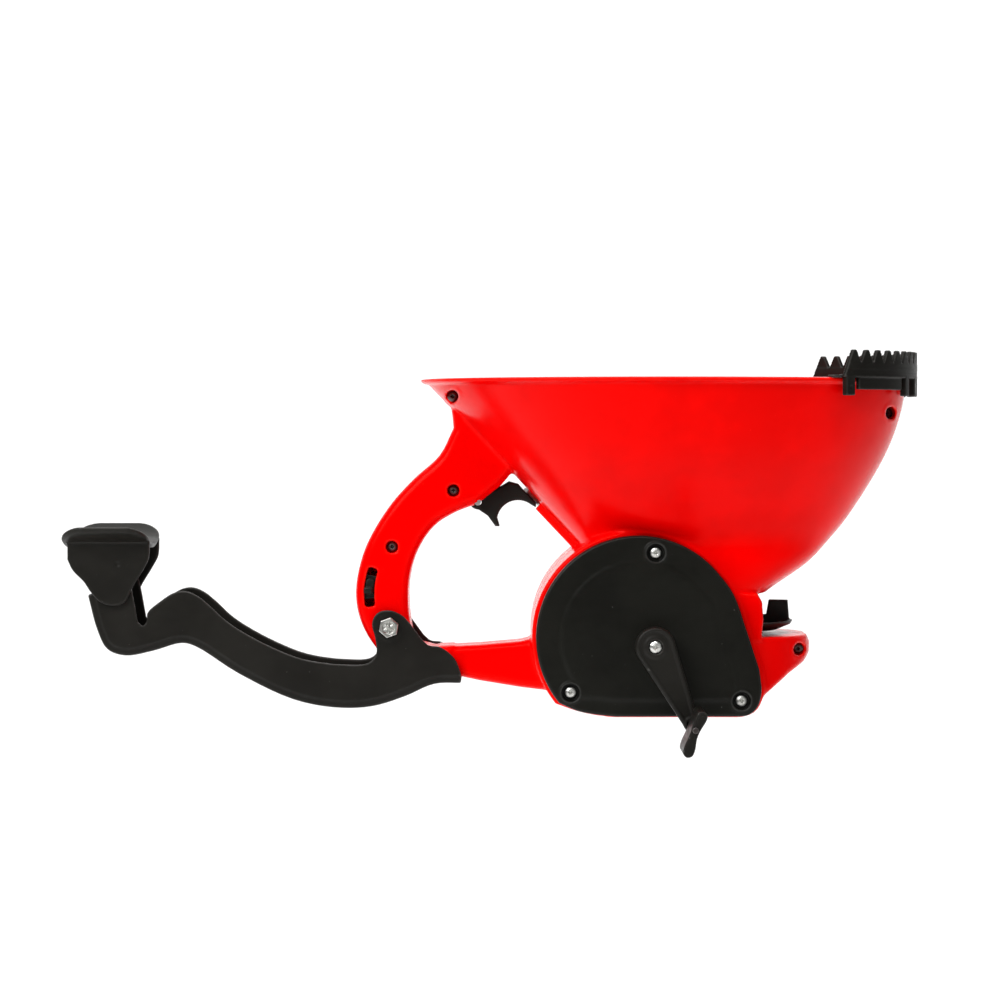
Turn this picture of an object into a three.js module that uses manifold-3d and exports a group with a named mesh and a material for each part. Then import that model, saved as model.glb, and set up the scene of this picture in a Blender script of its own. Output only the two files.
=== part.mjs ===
// Hand-crank broadcast spreader, in millimetres.
// +X is the throwing direction, +Z is up and -Y is the crank side.
// The origin is the middle of the hand grip, on the plane where the two moulded halves meet.

import * as THREE from 'three';
import { mergeVertices } from 'three/addons/utils/BufferGeometryUtils.js';
import Module from 'manifold-3d';

const wasm = await Module();
wasm.setup();

// ---- driving dimensions ----
const GAP = 0.3; // between pieces that touch
const WALL = 2.5; // of the moulded shells

// Hopper: an egg-shaped bowl with a straight sloping rear wall.
const RIM_Z = 90;
const FLOOR_Z = -15.5;
const REAR_TIP = { x: 21, z: 88.5 };
const REAR_RUN = 0.947; // forward run of the rear wall for each millimetre down
const RIM_PROUD = 1.8;
const RIM_DEPTH = 2.4;
const HOPPER_HEIGHTS = [-15.5, -2, 10, 24, 54, 90];
const HOPPER_SIDES = 36;

// Lower housing: the round drum behind the gear cover, and the deck under the throwing disc.
const HALF_WIDTH = 37;
const DRUM = { x: 124.8, z: -36, r: 49.8 };
const DRUM_PROUD = 1.9; // of the red drum around the black cover
const BASE_Z = -74;
const DECK_Z = -36;
const DECK_THICK = 2;
const DECK_FRONT_X = 175.7;
const NECK_FRONT_X = 185;

// Throwing disc and gate.
const DISC = { x: 170, r: 33.5 };
const CHAMBER_R = 34.4;
const BLADE_HALF = 0.9;
const GATE = { x0: 108, x1: 163, halfWidth: 15, z0: -18.4, z1: -16.4 };
const OUTLET = { x0: 152, x1: 162, halfWidth: 13 };

// Gears: a spur pair behind the cover, then a bevel pair inside the deck.
const MODULE = 1.25;
const DRIVE_TEETH = 50;
const PINION_TEETH = 14;
const SIDE_BEVEL_TEETH = 16;
const TOP_BEVEL_TEETH = 12;
const CRANK = { x: 132, z: -39 };
const SPUR_CENTRES = ((DRIVE_TEETH + PINION_TEETH) / 2) * MODULE;
const COUNTER = {
  x: DISC.x,
  z: CRANK.z - Math.sqrt(SPUR_CENTRES ** 2 - (DISC.x - CRANK.x) ** 2),
};
const GEAR_Y = [-43.2, -38.2];
const COVER_Y = [-46.2, -37 - GAP];
const SHAFT_R = 2.5;

// Crank arm and knob.
const CRANK_LENGTH = 41;
const CRANK_ANGLE = -64.9; // degrees from +X
const ARM_Y = [-62, -54.5];
const KNOB_Y = [-88, -63];
const KNOB_LEAN = 21; // degrees
const KNOB_PIN_R = 0.9;

// Handle and trigger.
const GRIP_HALF = 15;
const BAR_HALF = 12.5;
const TRIGGER = { x: 46.5, z: 29, halfWidth: 5.6, turn: 21 };
const FINGER = { x: 66.5, z: 19.5, r: 10.5 };
const ROD_R = 1.1;
const ROD_SLOPE = new THREE.Vector2(0.6876, -0.7261); // down the rear wall
const ROD_START = new THREE.Vector2(75.9, 29.15);
const STOP_ARC = { x: 29.9, z: -16.1, r: 37.2, from: 160, to: 190 };

// Forearm support.
const BOLT = { x: 2.6, z: -32.5 };
const SUPPORT_INNER = 15.5;
const SUPPORT_OUTER = 18;
const REST_PIVOT = { x: -134.7, z: -7.3 };
const REST_FLAP_Y = [18.4, 20.9];
const SADDLE = { x0: -158.6, x1: -115.5, half: 32, bottomZ: 8.8, r: 60, thick: 2.6 };

// Lump comb on the front rim.
const COMB_TEETH = 15;
const COMB_STEP = 6.5; // degrees
const COMB_Z = { skirt: 84.4, base: 90 + GAP, valley: 97.4, tip: 103.4, lug: 81.5 };

// ---- colours ----
const RED = { color: 0xe00000, roughness: 0.25, metalness: 0 };
const BLACK = { color: 0x1b1a18, roughness: 0.5, metalness: 0 };
const WHITE_PLASTIC = { color: 0xe8e4da, roughness: 0.4, metalness: 0 };
const STEEL = { color: 0xb9b9b4, roughness: 0.35, metalness: 1 };

// ---- solids ----
function toSolid(geometry) {
  const bare = geometry.clone();
  bare.deleteAttribute('normal');
  bare.deleteAttribute('uv');
  const merged = mergeVertices(bare, 1e-4);
  const corners = merged.index.array;
  const triangles = [];
  for (let i = 0; i < corners.length; i += 3) {
    const [a, b, c] = corners.slice(i, i + 3);
    if (a !== b && b !== c && c !== a) {
      triangles.push(a, b, c);
    }
  }
  return new wasm.Manifold(new wasm.Mesh({
    numProp: 3,
    vertProperties: new Float32Array(merged.attributes.position.array),
    triVerts: new Uint32Array(triangles),
  }));
}

function toGeometry(solid) {
  const mesh = solid.getMesh();
  const geometry = new THREE.BufferGeometry();
  geometry.setAttribute('position', new THREE.BufferAttribute(mesh.vertProperties, 3));
  geometry.setIndex(new THREE.BufferAttribute(mesh.triVerts, 1));
  geometry.computeVertexNormals();
  return geometry;
}

function join(solids) {
  return solids.reduce((whole, next) => whole.add(next));
}

function cut(solid, tools) {
  return tools.reduce((left, tool) => left.subtract(tool), solid);
}

function shapeOf(points) {
  return new THREE.Shape(points.map(([x, y]) => new THREE.Vector2(x, y)));
}

function smoothLine(points, count) {
  const curve = new THREE.SplineCurve(points.map(([x, y]) => new THREE.Vector2(x, y)));
  return curve.getPoints(count);
}

function extrude(shape, depth, round, segments) {
  return new THREE.ExtrudeGeometry(shape, {
    depth: depth - 2 * round,
    bevelEnabled: round > 0,
    bevelThickness: round,
    bevelSize: round,
    bevelOffset: -round,
    bevelSegments: segments,
    curveSegments: 6,
  }).translate(0, 0, round);
}

// An outline in X and Z, carried along Y.
function prismY(shape, y0, y1, round = 0, segments = 2) {
  const geometry = extrude(shape, y1 - y0, round, segments);
  return toSolid(geometry.rotateX(Math.PI / 2).translate(0, y1, 0));
}

// An outline in X and Y, carried along Z.
function prismZ(shape, z0, z1, round = 0) {
  return toSolid(extrude(shape, z1 - z0, round, 1).translate(0, 0, z0));
}

function block(x0, x1, y0, y1, z0, z1) {
  const box = new THREE.BoxGeometry(x1 - x0, y1 - y0, z1 - z0);
  return toSolid(box.translate((x0 + x1) / 2, (y0 + y1) / 2, (z0 + z1) / 2));
}

// A round bar between two points, with its own radius at each end.
function bar(from, to, r0, r1 = r0, sides = 12) {
  const start = new THREE.Vector3(...from);
  const along = new THREE.Vector3(...to).sub(start);
  const geometry = new THREE.CylinderGeometry(r1, r0, along.length(), sides);
  geometry.translate(0, along.length() / 2, 0);
  geometry.applyQuaternion(new THREE.Quaternion().setFromUnitVectors(
    new THREE.Vector3(0, 1, 0),
    along.clone().normalize(),
  ));
  return toSolid(geometry.translate(start.x, start.y, start.z));
}

function barY(at, r, y0, y1, sides = 12) {
  return bar([at.x, y0, at.z], [at.x, y1, at.z], r, r, sides);
}

function barZ(x, y, r, z0, z1, sides = 12) {
  return bar([x, y, z0], [x, y, z1], r, r, sides);
}

// A bent wire: straight stretches with a ball at each bend.
function wire(points, r) {
  const pieces = [];
  for (let i = 1; i < points.length; i++) {
    pieces.push(bar(points[i - 1], points[i], r, r, 8));
    if (i < points.length - 1) {
      pieces.push(toSolid(new THREE.SphereGeometry(r, 8, 6).translate(...points[i])));
    }
  }
  return join(pieces);
}

// Stacked rings of points, closed by a fan at each end. Each ring is seen from above, anticlockwise.
function loft(rings) {
  const positions = rings.flat(2);
  const indices = [];
  const n = rings[0].length;
  for (let level = 0; level + 1 < rings.length; level++) {
    for (let i = 0; i < n; i++) {
      const a = level * n + i;
      const b = level * n + ((i + 1) % n);
      indices.push(a, b, b + n, a, b + n, a + n);
    }
  }
  for (const level of [0, rings.length - 1]) {
    const ring = rings[level];
    const middle = [0, 1, 2].map((k) => ring.reduce((sum, p) => sum + p[k], 0) / n);
    const centre = positions.length / 3;
    positions.push(...middle);
    for (let i = 0; i < n; i++) {
      const a = level * n + i;
      const b = level * n + ((i + 1) % n);
      indices.push(...(level === 0 ? [centre, b, a] : [centre, a, b]));
    }
  }
  const geometry = new THREE.BufferGeometry();
  geometry.setAttribute('position', new THREE.Float32BufferAttribute(positions, 3));
  geometry.setIndex(indices);
  return toSolid(geometry);
}

// ---- hopper ----
// The front and side profiles are curves through a few stations: height, front X, half width.
const HOPPER_PROFILE = new THREE.CatmullRomCurve3([
  new THREE.Vector3(178, 36.6, -26),
  new THREE.Vector3(189, 37, FLOOR_Z),
  new THREE.Vector3(211.4, 37.1, 0.2),
  new THREE.Vector3(221.3, 37.2, 10.6),
  new THREE.Vector3(231, 44, 22.5),
  new THREE.Vector3(250.3, 67, 54.5),
  new THREE.Vector3(257.6, 77, 75),
  new THREE.Vector3(260, 83, RIM_Z),
], false, 'centripetal').getPoints(160);

function hopperAt(z) {
  const next = HOPPER_PROFILE.findIndex((p) => p.z >= z - 1e-6);
  const upper = HOPPER_PROFILE[next];
  const lower = HOPPER_PROFILE[next - 1];
  const at = lower.clone().lerp(upper, (z - lower.z) / (upper.z - lower.z));
  return {
    front: at.x,
    rear: REAR_TIP.x + (REAR_TIP.z - z) * REAR_RUN,
    half: at.y,
  };
}

// The bowl is an ellipse at the rim and squarer towards the floor.
function hopperRing(z, inset, height = z) {
  const { front, rear, half } = hopperAt(z);
  const squareness = 2 + 1.4 * (1 - (z - FLOOR_Z) / (RIM_Z - FLOOR_Z)) ** 2;
  const ring = [];
  for (let i = 0; i < HOPPER_SIDES; i++) {
    const angle = (i / HOPPER_SIDES) * Math.PI * 2;
    const c = Math.cos(angle);
    const s = Math.sin(angle);
    ring.push([
      (front + rear) / 2 + ((front - rear) / 2 - inset) * Math.sign(c) * Math.abs(c) ** (2 / squareness),
      (half - inset) * Math.sign(s) * Math.abs(s) ** (2 / squareness),
      height,
    ]);
  }
  return ring;
}

const hopperOuter = loft(HOPPER_HEIGHTS.map((z) => hopperRing(z, 0)));
const hopperInner = loft([
  hopperRing(FLOOR_Z + WALL, WALL),
  ...HOPPER_HEIGHTS.slice(1).map((z) => hopperRing(z, WALL)),
  hopperRing(RIM_Z, WALL, RIM_Z + 4),
]);
const rimBead = loft([
  hopperRing(RIM_Z - RIM_DEPTH, -RIM_PROUD),
  hopperRing(RIM_Z, -RIM_PROUD),
]);

// ---- lower housing ----
// The drum's outline: one large arc, a leaning front edge and a flat base with two round corners.
function drumShape(grow) {
  const r = DRUM.r + grow;
  const base = BASE_Z - grow * 0.6;
  const onArc = (degrees) => {
    const angle = THREE.MathUtils.degToRad(degrees);
    return new THREE.Vector2(DRUM.x + r * Math.cos(angle), DRUM.z + r * Math.sin(angle));
  };
  const heel = onArc(219);
  const shape = new THREE.Shape([heel]);
  smoothLine([
    [heel.x, heel.y],
    [95, -71.2 - grow * 0.5],
    [104, -73 - grow * 0.6],
    [113.5, base],
  ], 5).slice(1).forEach((p) => shape.lineTo(p.x, p.y));
  shape.lineTo(173.5, base);
  shape.quadraticCurveTo(184.4 + grow, base, 184.4 + grow, -60);
  shape.lineTo(183.2 + grow, -51);
  shape.lineTo(175.8 + grow, -28.5);
  const brow = onArc(40);
  smoothLine([
    [175.8 + grow, -28.5],
    [172.6 + grow, -19],
    [169.2 + grow * 0.9, -12 + grow * 0.4],
    [brow.x, brow.y],
  ], 4).slice(1).forEach((p) => shape.lineTo(p.x, p.y));
  for (let degrees = 49; degrees < 215; degrees += 9) {
    const p = onArc(degrees);
    shape.lineTo(p.x, p.y);
  }
  return shape;
}

// The deck in plan: straight sides and a round nose.
function deckPlan(halfWidth, rearX) {
  const shape = new THREE.Shape([new THREE.Vector2(rearX, -halfWidth)]);
  shape.lineTo(DECK_FRONT_X, -halfWidth);
  shape.absarc(DECK_FRONT_X, 0, halfWidth, -Math.PI / 2, Math.PI / 2);
  shape.lineTo(rearX, halfWidth);
  return shape;
}

// The deck from the side: a flat top and an underside that rises towards the nose.
function deckSide(inset) {
  return shapeOf([
    [110, BASE_Z + inset],
    [175, BASE_Z + inset],
    [187 - inset, -64.5 + inset],
    [199.6 - inset, -54.3 + inset],
    [208 - inset, -49.5 + inset],
    [212 - inset, -45.5 + inset * 0.5],
    [212.5 - inset, -40],
    [209.5 - inset, DECK_Z - inset * 0.8],
    [110, DECK_Z - inset * 0.8],
  ]);
}

const drumOuter = prismY(drumShape(DRUM_PROUD), -HALF_WIDTH, HALF_WIDTH, 1.5, 1);
const drumInner = prismY(drumShape(DRUM_PROUD - WALL), -HALF_WIDTH + WALL, HALF_WIDTH - WALL);
const deckOuter = prismZ(deckPlan(HALF_WIDTH, 110), BASE_Z, DECK_Z)
  .intersect(prismY(deckSide(0), -50, 50));
const deckInner = prismZ(deckPlan(HALF_WIDTH - WALL, 120), BASE_Z + WALL, DECK_Z - DECK_THICK)
  .intersect(prismY(deckSide(WALL), -50, 50));
const neckOuter = prismY(shapeOf([
  [150, DECK_Z - 2],
  [NECK_FRONT_X, DECK_Z - 2],
  [NECK_FRONT_X + 1, -28],
  [NECK_FRONT_X + 0.5, -19],
  [NECK_FRONT_X - 2, FLOOR_Z + 1],
  [150, FLOOR_Z + 1],
]), -HALF_WIDTH, HALF_WIDTH);
const guard = barZ(DISC.x, 0, CHAMBER_R + 2, DECK_Z - DECK_THICK, FLOOR_Z + 1, 32);
const chamber = join([
  barZ(DISC.x, 0, CHAMBER_R, DECK_Z, FLOOR_Z, 32),
  block(DISC.x, 230, -CHAMBER_R, CHAMBER_R, DECK_Z, FLOOR_Z),
]);

// ---- handle and lower bar ----
function handleShape(inset) {
  const k = inset;
  const back = [
    [34.4 + k, 66],
    [27.5 + k * 0.7, 52.5 - k * 0.7],
    [15 + k * 0.6, 41 - k * 0.7],
    [4 + k * 0.8, 29 - k * 0.6],
    [-5.7 + k, 14.1],
    [-11 + k, 1.9],
    [-14.1 + k, -15],
    [-12 + k, -29],
    [-5 + k * 0.7, -42 + k * 0.7],
    [6 + k * 0.3, -52.5 + k],
    [22, -57 + k],
  ];
  const front = [
    [24.6, -42.8 - k],
    [16 - k * 0.7, -39.5 - k * 0.7],
    [12.8 - k, -29],
    [12.4 - k, -10],
    [16.5 - k, 5],
    [25 - k * 0.7, 17.5 + k * 0.7],
    [35 - k * 0.4, 24 + k * 0.9],
    [46.5 - k * 0.4, 28.5 + k * 0.9],
  ];
  return new THREE.Shape([
    new THREE.Vector2(48 + k, 74 - k),
    new THREE.Vector2(33.6 + k, 74.5 - k),
    ...smoothLine(back, 15),
    new THREE.Vector2(34, -57.6 + k),
    new THREE.Vector2(34, -42.4 - k),
    ...smoothLine(front, 11),
    new THREE.Vector2(58 - k * 0.5, 37.5 + k * 0.9),
    new THREE.Vector2(66 - k * 0.5, 47 + k * 0.9),
  ]);
}

function barShape(inset) {
  return shapeOf([
    [28, -57.6 + inset],
    [39, -57.8 + inset],
    [47.5, -59.6 + inset],
    [67.5, -62.9 + inset],
    [88, -65.4 + inset],
    [88, -36 - inset],
    [76, -38 - inset],
    [67.5, -40 - inset],
    [47.5, -41.7 - inset],
    [28, -42.7 - inset],
  ]);
}

const handleOuter = prismY(handleShape(0), -GRIP_HALF, GRIP_HALF, 4, 1);
const handleInner = prismY(handleShape(WALL), -GRIP_HALF + WALL, GRIP_HALF - WALL);
const barOuter = prismY(barShape(0), -BAR_HALF, BAR_HALF, 3, 1);
const barInner = prismY(barShape(WALL), -BAR_HALF + WALL, BAR_HALF - WALL);

// The rod runs in a rib that follows the hopper's rear wall from the trigger down to the drum.
const ROD_NORMAL = new THREE.Vector2(ROD_SLOPE.y, -ROD_SLOPE.x); // away from the hopper

function alongRod(distance, offset = 0) {
  return ROD_START.clone().addScaledVector(ROD_SLOPE, distance).addScaledVector(ROD_NORMAL, offset);
}

function rodSlab(start, end, inner, outer, halfWidth) {
  const corners = [
    alongRod(start, inner),
    alongRod(start, outer),
    alongRod(end, outer),
    alongRod(end, inner),
  ];
  return prismY(new THREE.Shape(corners), -halfWidth, halfWidth);
}

const rib = rodSlab(2, 34, -3, 2.9, 6);
const rodChannel = rodSlab(-16, 60, -1.7, 1.7, 1.7);

// ---- trigger ----
function triggerShape(grow) {
  const shape = new THREE.Shape();
  const g = grow;
  shape.moveTo(42.6 - g, 28.6);
  shape.quadraticCurveTo(43 - g, 25.6 - g, 47, 25.2 - g);
  shape.lineTo(51.4 - g * 0.5, 22.2 - g);
  shape.lineTo(55.2, 17 - g);
  shape.lineTo(57.4 + g * 0.5, 17 - g);
  const from = THREE.MathUtils.degToRad(175);
  const to = THREE.MathUtils.degToRad(52);
  shape.absarc(FINGER.x, FINGER.z, FINGER.r - g, from, to, true);
  shape.lineTo(75.4 + g, 26.4 - g);
  shape.lineTo(75.6 + g, 28.6);
  shape.lineTo(66.6 + g * 0.7, 38.1 + g * 0.7);
  shape.lineTo(62 - g * 0.3, 39.4 + g);
  shape.quadraticCurveTo(54, 34 + g, 46, 33 + g);
  shape.lineTo(43.4 - g, 31.4);
  return shape;
}

function turnedAbout(solid, at, degrees) {
  return solid.translate([-at.x, 0, -at.z]).rotate([0, degrees, 0]).translate([at.x, 0, at.z]);
}

const triggerBlank = prismY(
  triggerShape(0), -TRIGGER.halfWidth, TRIGGER.halfWidth, 0.5, 1,
);
const triggerSweep = wasm.Manifold.hull([0, 11, TRIGGER.turn + 1].map((degrees) => turnedAbout(
  prismY(triggerShape(0.5), -TRIGGER.halfWidth - 0.6, TRIGGER.halfWidth + 0.6),
  TRIGGER,
  -degrees,
)));
const pinAt = alongRod(-8);
const triggerPinSlot = (() => {
  const inward = new THREE.Vector2(TRIGGER.x - pinAt.x, TRIGGER.z - pinAt.y).setLength(3.4);
  const across = new THREE.Vector2(-inward.y, inward.x).setLength(ROD_R + 0.5);
  const outer = pinAt.clone().addScaledVector(inward, -0.5);
  const inner = pinAt.clone().addScaledVector(inward, 1.4);
  return prismY(new THREE.Shape([
    outer.clone().add(across),
    inner.clone().add(across),
    inner.clone().sub(across),
    outer.clone().sub(across),
  ]), -4.6, 4.6);
})();
const trigger = cut(triggerBlank, [
  triggerPinSlot,
  prismY(shapeOf([[61, 44], [59, 31.2], [80, 20], [82, 30]]), -1.8, 1.8),
  barY(TRIGGER, 1.5 + GAP, -20, 20),
]);
const triggerPin = barY(TRIGGER, 1.5, -GRIP_HALF + 3, GRIP_HALF - 3);

// ---- rod, gate and return spring ----
const rodFoot = alongRod(50);
const ROD_FOOT_Z = -24;
const gateRod = join([
  bar([pinAt.x, -4, pinAt.y], [pinAt.x, 4, pinAt.y], ROD_R, ROD_R, 10),
  wire([
    [pinAt.x, 0, pinAt.y],
    [rodFoot.x, 0, rodFoot.y],
    [rodFoot.x, 0, ROD_FOOT_Z],
    [rodFoot.x, 6.4, ROD_FOOT_Z],
  ], ROD_R),
]);

const gateLug = block(rodFoot.x - 3.4, rodFoot.x + 3.4, 3, 5.4, -27, GATE.z1 + 0.4);
const gateSlot = block(
  rodFoot.x - ROD_R - 0.3, rodFoot.x + ROD_R + 0.3, 2, 7, ROD_FOOT_Z - ROD_R - 0.4, -15.4,
);
const gate = cut(join([
  block(GATE.x0, GATE.x1, -GATE.halfWidth + 1, GATE.halfWidth - 1, GATE.z0, GATE.z1),
  gateLug,
]), [
  gateSlot,
  block(rodFoot.x - 3, rodFoot.x + 3, -1.8, 2.2, GATE.z0 - 1, GATE.z1 + 1),
]);

class Helix extends THREE.Curve {
  constructor(r, turns, x0, x1, y, z) {
    super();
    Object.assign(this, { r, turns, x0, x1, y, z });
  }

  getPoint(t, target = new THREE.Vector3()) {
    const angle = t * this.turns * Math.PI * 2;
    return target.set(
      this.x0 + (this.x1 - this.x0) * t,
      this.y + this.r * Math.cos(angle),
      this.z + this.r * Math.sin(angle),
    );
  }
}

const SPRING = { x0: 90.6, x1: 106.2, y: 8, z: -21, r: 2.6, wire: 0.45, turns: 6 };
const springSection = new THREE.Shape();
springSection.absarc(0, 0, SPRING.wire, 0, Math.PI * 2);
const returnSpring = toSolid(new THREE.ExtrudeGeometry(springSection, {
  steps: SPRING.turns * 8,
  curveSegments: 3,
  bevelEnabled: false,
  extrudePath: new Helix(SPRING.r, SPRING.turns, SPRING.x0, SPRING.x1, SPRING.y, SPRING.z),
}));
const springPost = bar([84, SPRING.y, SPRING.z], [95, SPRING.y, SPRING.z], 1.6);
const springSeat = block(84.5, 90, SPRING.y - 5, HALF_WIDTH, SPRING.z - 5, SPRING.z + 5);
const gateSpringPad = block(106.8, 109.2, 5.2, 11.6, -24.5, GATE.z1);

// ---- screws ----
// A pan head with a cross recess, and a plain shank towards +Y.
function screw(at, headY, headR, headHeight, length, shankR) {
  const head = bar(
    [at.x, headY, at.z], [at.x, headY + headHeight, at.z], headR * 0.8, headR, 12,
  );
  const shank = barY(at, shankR, headY + headHeight, headY + headHeight + length, 8);
  const arm = headR * 0.62;
  const slot = headR * 0.13;
  return cut(head.add(shank), [
    block(at.x - arm, at.x + arm, headY - 1, headY + headHeight * 0.6, at.z - slot, at.z + slot),
    block(at.x - slot, at.x + slot, headY - 1, headY + headHeight * 0.6, at.z - arm, at.z + arm),
  ]);
}

const COVER_SCREWS = {
  cover_screw_top: { x: 132.9, z: 5.5 },
  cover_screw_rear: { x: 91.7, z: -62.3 },
  cover_screw_front: { x: 174.6, z: -66.3 },
};
const COVER_POCKET_R = 4.4;
const COVER_SCREW_HEAD_Y = -45.4;

// Each shell screw sits at the bottom of a round recess: its place, and the Y of the recess's floor.
const SHELL_SCREWS = {
  shell_screw_rim_rear: { x: 34.1, z: 81.5, floorY: -16, bossR: 4.6 },
  shell_screw_rim_front: { x: 248.6, z: 73.3, floorY: -16, bossR: 4.6 },
  shell_screw_nose: { x: 204.8, z: -43, floorY: -16, bossR: 4.6 },
  shell_screw_handle_top: { x: 34.4, z: 35, floorY: -10.5, bossR: 3.9 },
  shell_screw_handle_middle: { x: 4, z: 7.1, floorY: -10.5, bossR: 3.9 },
};
const RECESS_R = 3.1;
const SHELL_HEAD_R = 2.6;
const SHELL_SHANK_R = 1.3;

// ---- shells ----
const shellFilled = join([
  hopperOuter, rimBead, drumOuter, deckOuter, neckOuter, handleOuter, barOuter, rib,
]);
const hollowLow = cut(drumInner.add(deckInner), [hopperOuter, guard, rib]);
const handleHollow = cut(handleInner.add(barInner), [hopperOuter, drumOuter, rib]);
const bosses = join([
  ...Object.values(SHELL_SCREWS).map((s) => barY(s, s.bossR, -60, 60, 12)),
  barY(BOLT, 5.5, -GRIP_HALF, GRIP_HALF),
  barY(TRIGGER, 3.4, -GRIP_HALF, -TRIGGER.halfWidth - 0.7),
  barY(TRIGGER, 3.4, TRIGGER.halfWidth + 0.7, GRIP_HALF),
  barY(COUNTER, 5, -HALF_WIDTH, -HALF_WIDTH + 7),
  barY(CRANK, 7, -HALF_WIDTH, -HALF_WIDTH + 6),
  springSeat,
  springPost,
]).intersect(shellFilled);
const gateGuides = join([
  block(136, 166, -19, -GATE.halfWidth, GATE.z0 - 1.6, FLOOR_Z + 1),
  block(136, 166, GATE.halfWidth, 19, GATE.z0 - 1.6, FLOOR_Z + 1),
]);

function arcBand(arc, halfThick) {
  const from = THREE.MathUtils.degToRad(arc.from);
  const to = THREE.MathUtils.degToRad(arc.to);
  const shape = new THREE.Shape();
  shape.absarc(arc.x, arc.z, arc.r + halfThick, from, to);
  shape.absarc(arc.x, arc.z, arc.r - halfThick, to, from, true);
  return shape;
}

const screwHoles = Object.values(SHELL_SCREWS).flatMap((s) => [
  barY(s, RECESS_R, -70, s.floorY, 12),
  barY(s, SHELL_SHANK_R + GAP, s.floorY - 1, 12, 8),
]);
const coverScrewHoles = Object.values(COVER_SCREWS).map((s) => barY(s, 1.7, -50, -27, 8));
const shell = cut(
  cut(shellFilled, [hopperInner, hollowLow, handleHollow])
    .add(bosses)
    .add(gateGuides),
  [
    chamber,
    prismY(drumShape(GAP), -60, -HALF_WIDTH),
    block(NECK_FRONT_X + 1.5, 230, -50, 50, DECK_Z, FLOOR_Z - 3),
    rodChannel,
    triggerSweep,
    prismY(shapeOf([[61, 54], [59, 34], [72, 30], [80, 27.5], [80, 35]]), -3, 3)
      .subtract(hopperInner)
      .subtract(rodSlab(-40, 60, -8, -3.2, 20)),
    barY(TRIGGER, 1.5 + GAP, -GRIP_HALF + 2.6, GRIP_HALF - 2.6),
    block(OUTLET.x0, OUTLET.x1, -OUTLET.halfWidth, OUTLET.halfWidth, FLOOR_Z - 1, FLOOR_Z + 4),
    block(
      100, 168, -GATE.halfWidth + 1 - GAP, GATE.halfWidth - 1 + GAP, GATE.z0 - GAP, GATE.z1 + GAP,
    ),
    block(95, 120, -2, 12, -28, GATE.z1 + GAP + 0.4),
    ...screwHoles,
    ...coverScrewHoles,
    barY(BOLT, 2.5 + GAP, -30, 30),
    prismY(arcBand(STOP_ARC, 2.5), -GRIP_HALF - 1, -GRIP_HALF + WALL + 1),
    barY(CRANK, 4 + GAP, -40, -20),
    barY(COUNTER, SHAFT_R + GAP, -40, -20),
    barZ(DISC.x, 0, SHAFT_R + GAP, -45, -30),
  ],
);
const bushPocket = barZ(DISC.x, 0, 4.2 + GAP, DECK_Z - DECK_THICK - 1, DECK_Z + 1);

// The piece itself, without the slivers that the cuts leave beside it.
function largestBody(solid) {
  return solid.decompose().sort((a, b) => b.volume() - a.volume())[0];
}

const shellWithBush = shell.subtract(bushPocket);
const shellRight = largestBody(shellWithBush.intersect(block(-60, 300, -120, -GAP / 2, -120, 130)));
const shellLeft = largestBody(shellWithBush.intersect(block(-60, 300, GAP / 2, 120, -120, 130)));
const impellerBush = cut(
  barZ(DISC.x, 0, 4.2, DECK_Z - DECK_THICK, DECK_Z + 1)
    .add(barZ(DISC.x, 0, 5.6, DECK_Z + GAP, DECK_Z + 1)),
  [barZ(DISC.x, 0, SHAFT_R + GAP, -50, -20)],
);

// ---- gears ----
function involutePoint(baseR, t) {
  return [
    baseR * (Math.cos(t) + t * Math.sin(t)),
    baseR * (Math.sin(t) - t * Math.cos(t)),
  ];
}

// A spur gear's outline about its own centre, with a tooth pointing along `phase` radians.
function gearOutline(teeth, module, phase, slack = 0.12, addendum = 0.9) {
  const pitchR = (teeth * module) / 2;
  const baseR = pitchR * Math.cos(THREE.MathUtils.degToRad(20));
  const tipR = pitchR + addendum * module;
  const rootR = pitchR - 1.2 * module;
  const angleAt = (r) => {
    const t = Math.sqrt(Math.max((r / baseR) ** 2 - 1, 0));
    return t - Math.atan(t);
  };
  const halfTooth = Math.PI / (2 * teeth) - slack / pitchR / 2 + angleAt(pitchR);
  const flank = [rootR, tipR];
  const points = [];
  for (let k = 0; k < teeth; k++) {
    const middle = phase + (k / teeth) * Math.PI * 2;
    flank.forEach((r) => points.push([r, middle - halfTooth + angleAt(r)]));
    [...flank].reverse().forEach((r) => points.push([r, middle + halfTooth - angleAt(r)]));
  }
  return points.map(([r, angle]) => [r * Math.cos(angle), r * Math.sin(angle)]);
}

function spurGear(at, teeth, phase, holes) {
  const outline = gearOutline(teeth, MODULE, phase);
  const body = prismY(shapeOf(outline.map(([x, y]) => [x + at.x, y + at.z])), ...GEAR_Y);
  return cut(body, holes);
}

const toCounter = Math.atan2(COUNTER.z - CRANK.z, COUNTER.x - CRANK.x);
const webHoles = [];
for (let k = 0; k < 5; k++) {
  const angle = (k / 5) * Math.PI * 2 + 0.5;
  const at = { x: CRANK.x + 18.5 * Math.cos(angle), z: CRANK.z + 18.5 * Math.sin(angle) };
  webHoles.push(barY(at, 6.2, -50, -30, 10));
}
const driveGear = spurGear(CRANK, DRIVE_TEETH, toCounter, [...webHoles, barY(CRANK, 4 + GAP, -50, -30)]);
const pinionPhase = toCounter + Math.PI + Math.PI / PINION_TEETH;
const pinionGear = spurGear(COUNTER, PINION_TEETH, pinionPhase, [
  barY(COUNTER, SHAFT_R + GAP, -50, -30),
]);

// A straight bevel gear about +Z with its cone's point at the origin and its large end at height `reach`.
function bevelGear(teeth, reach, phase) {
  const outline = gearOutline(teeth, MODULE, phase, 0.5, 0.7);
  const ring = (share) => outline.map(([x, y]) => [x * share, y * share, reach * share]);
  return loft([ring(0.6), ring(1)]);
}

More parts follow.
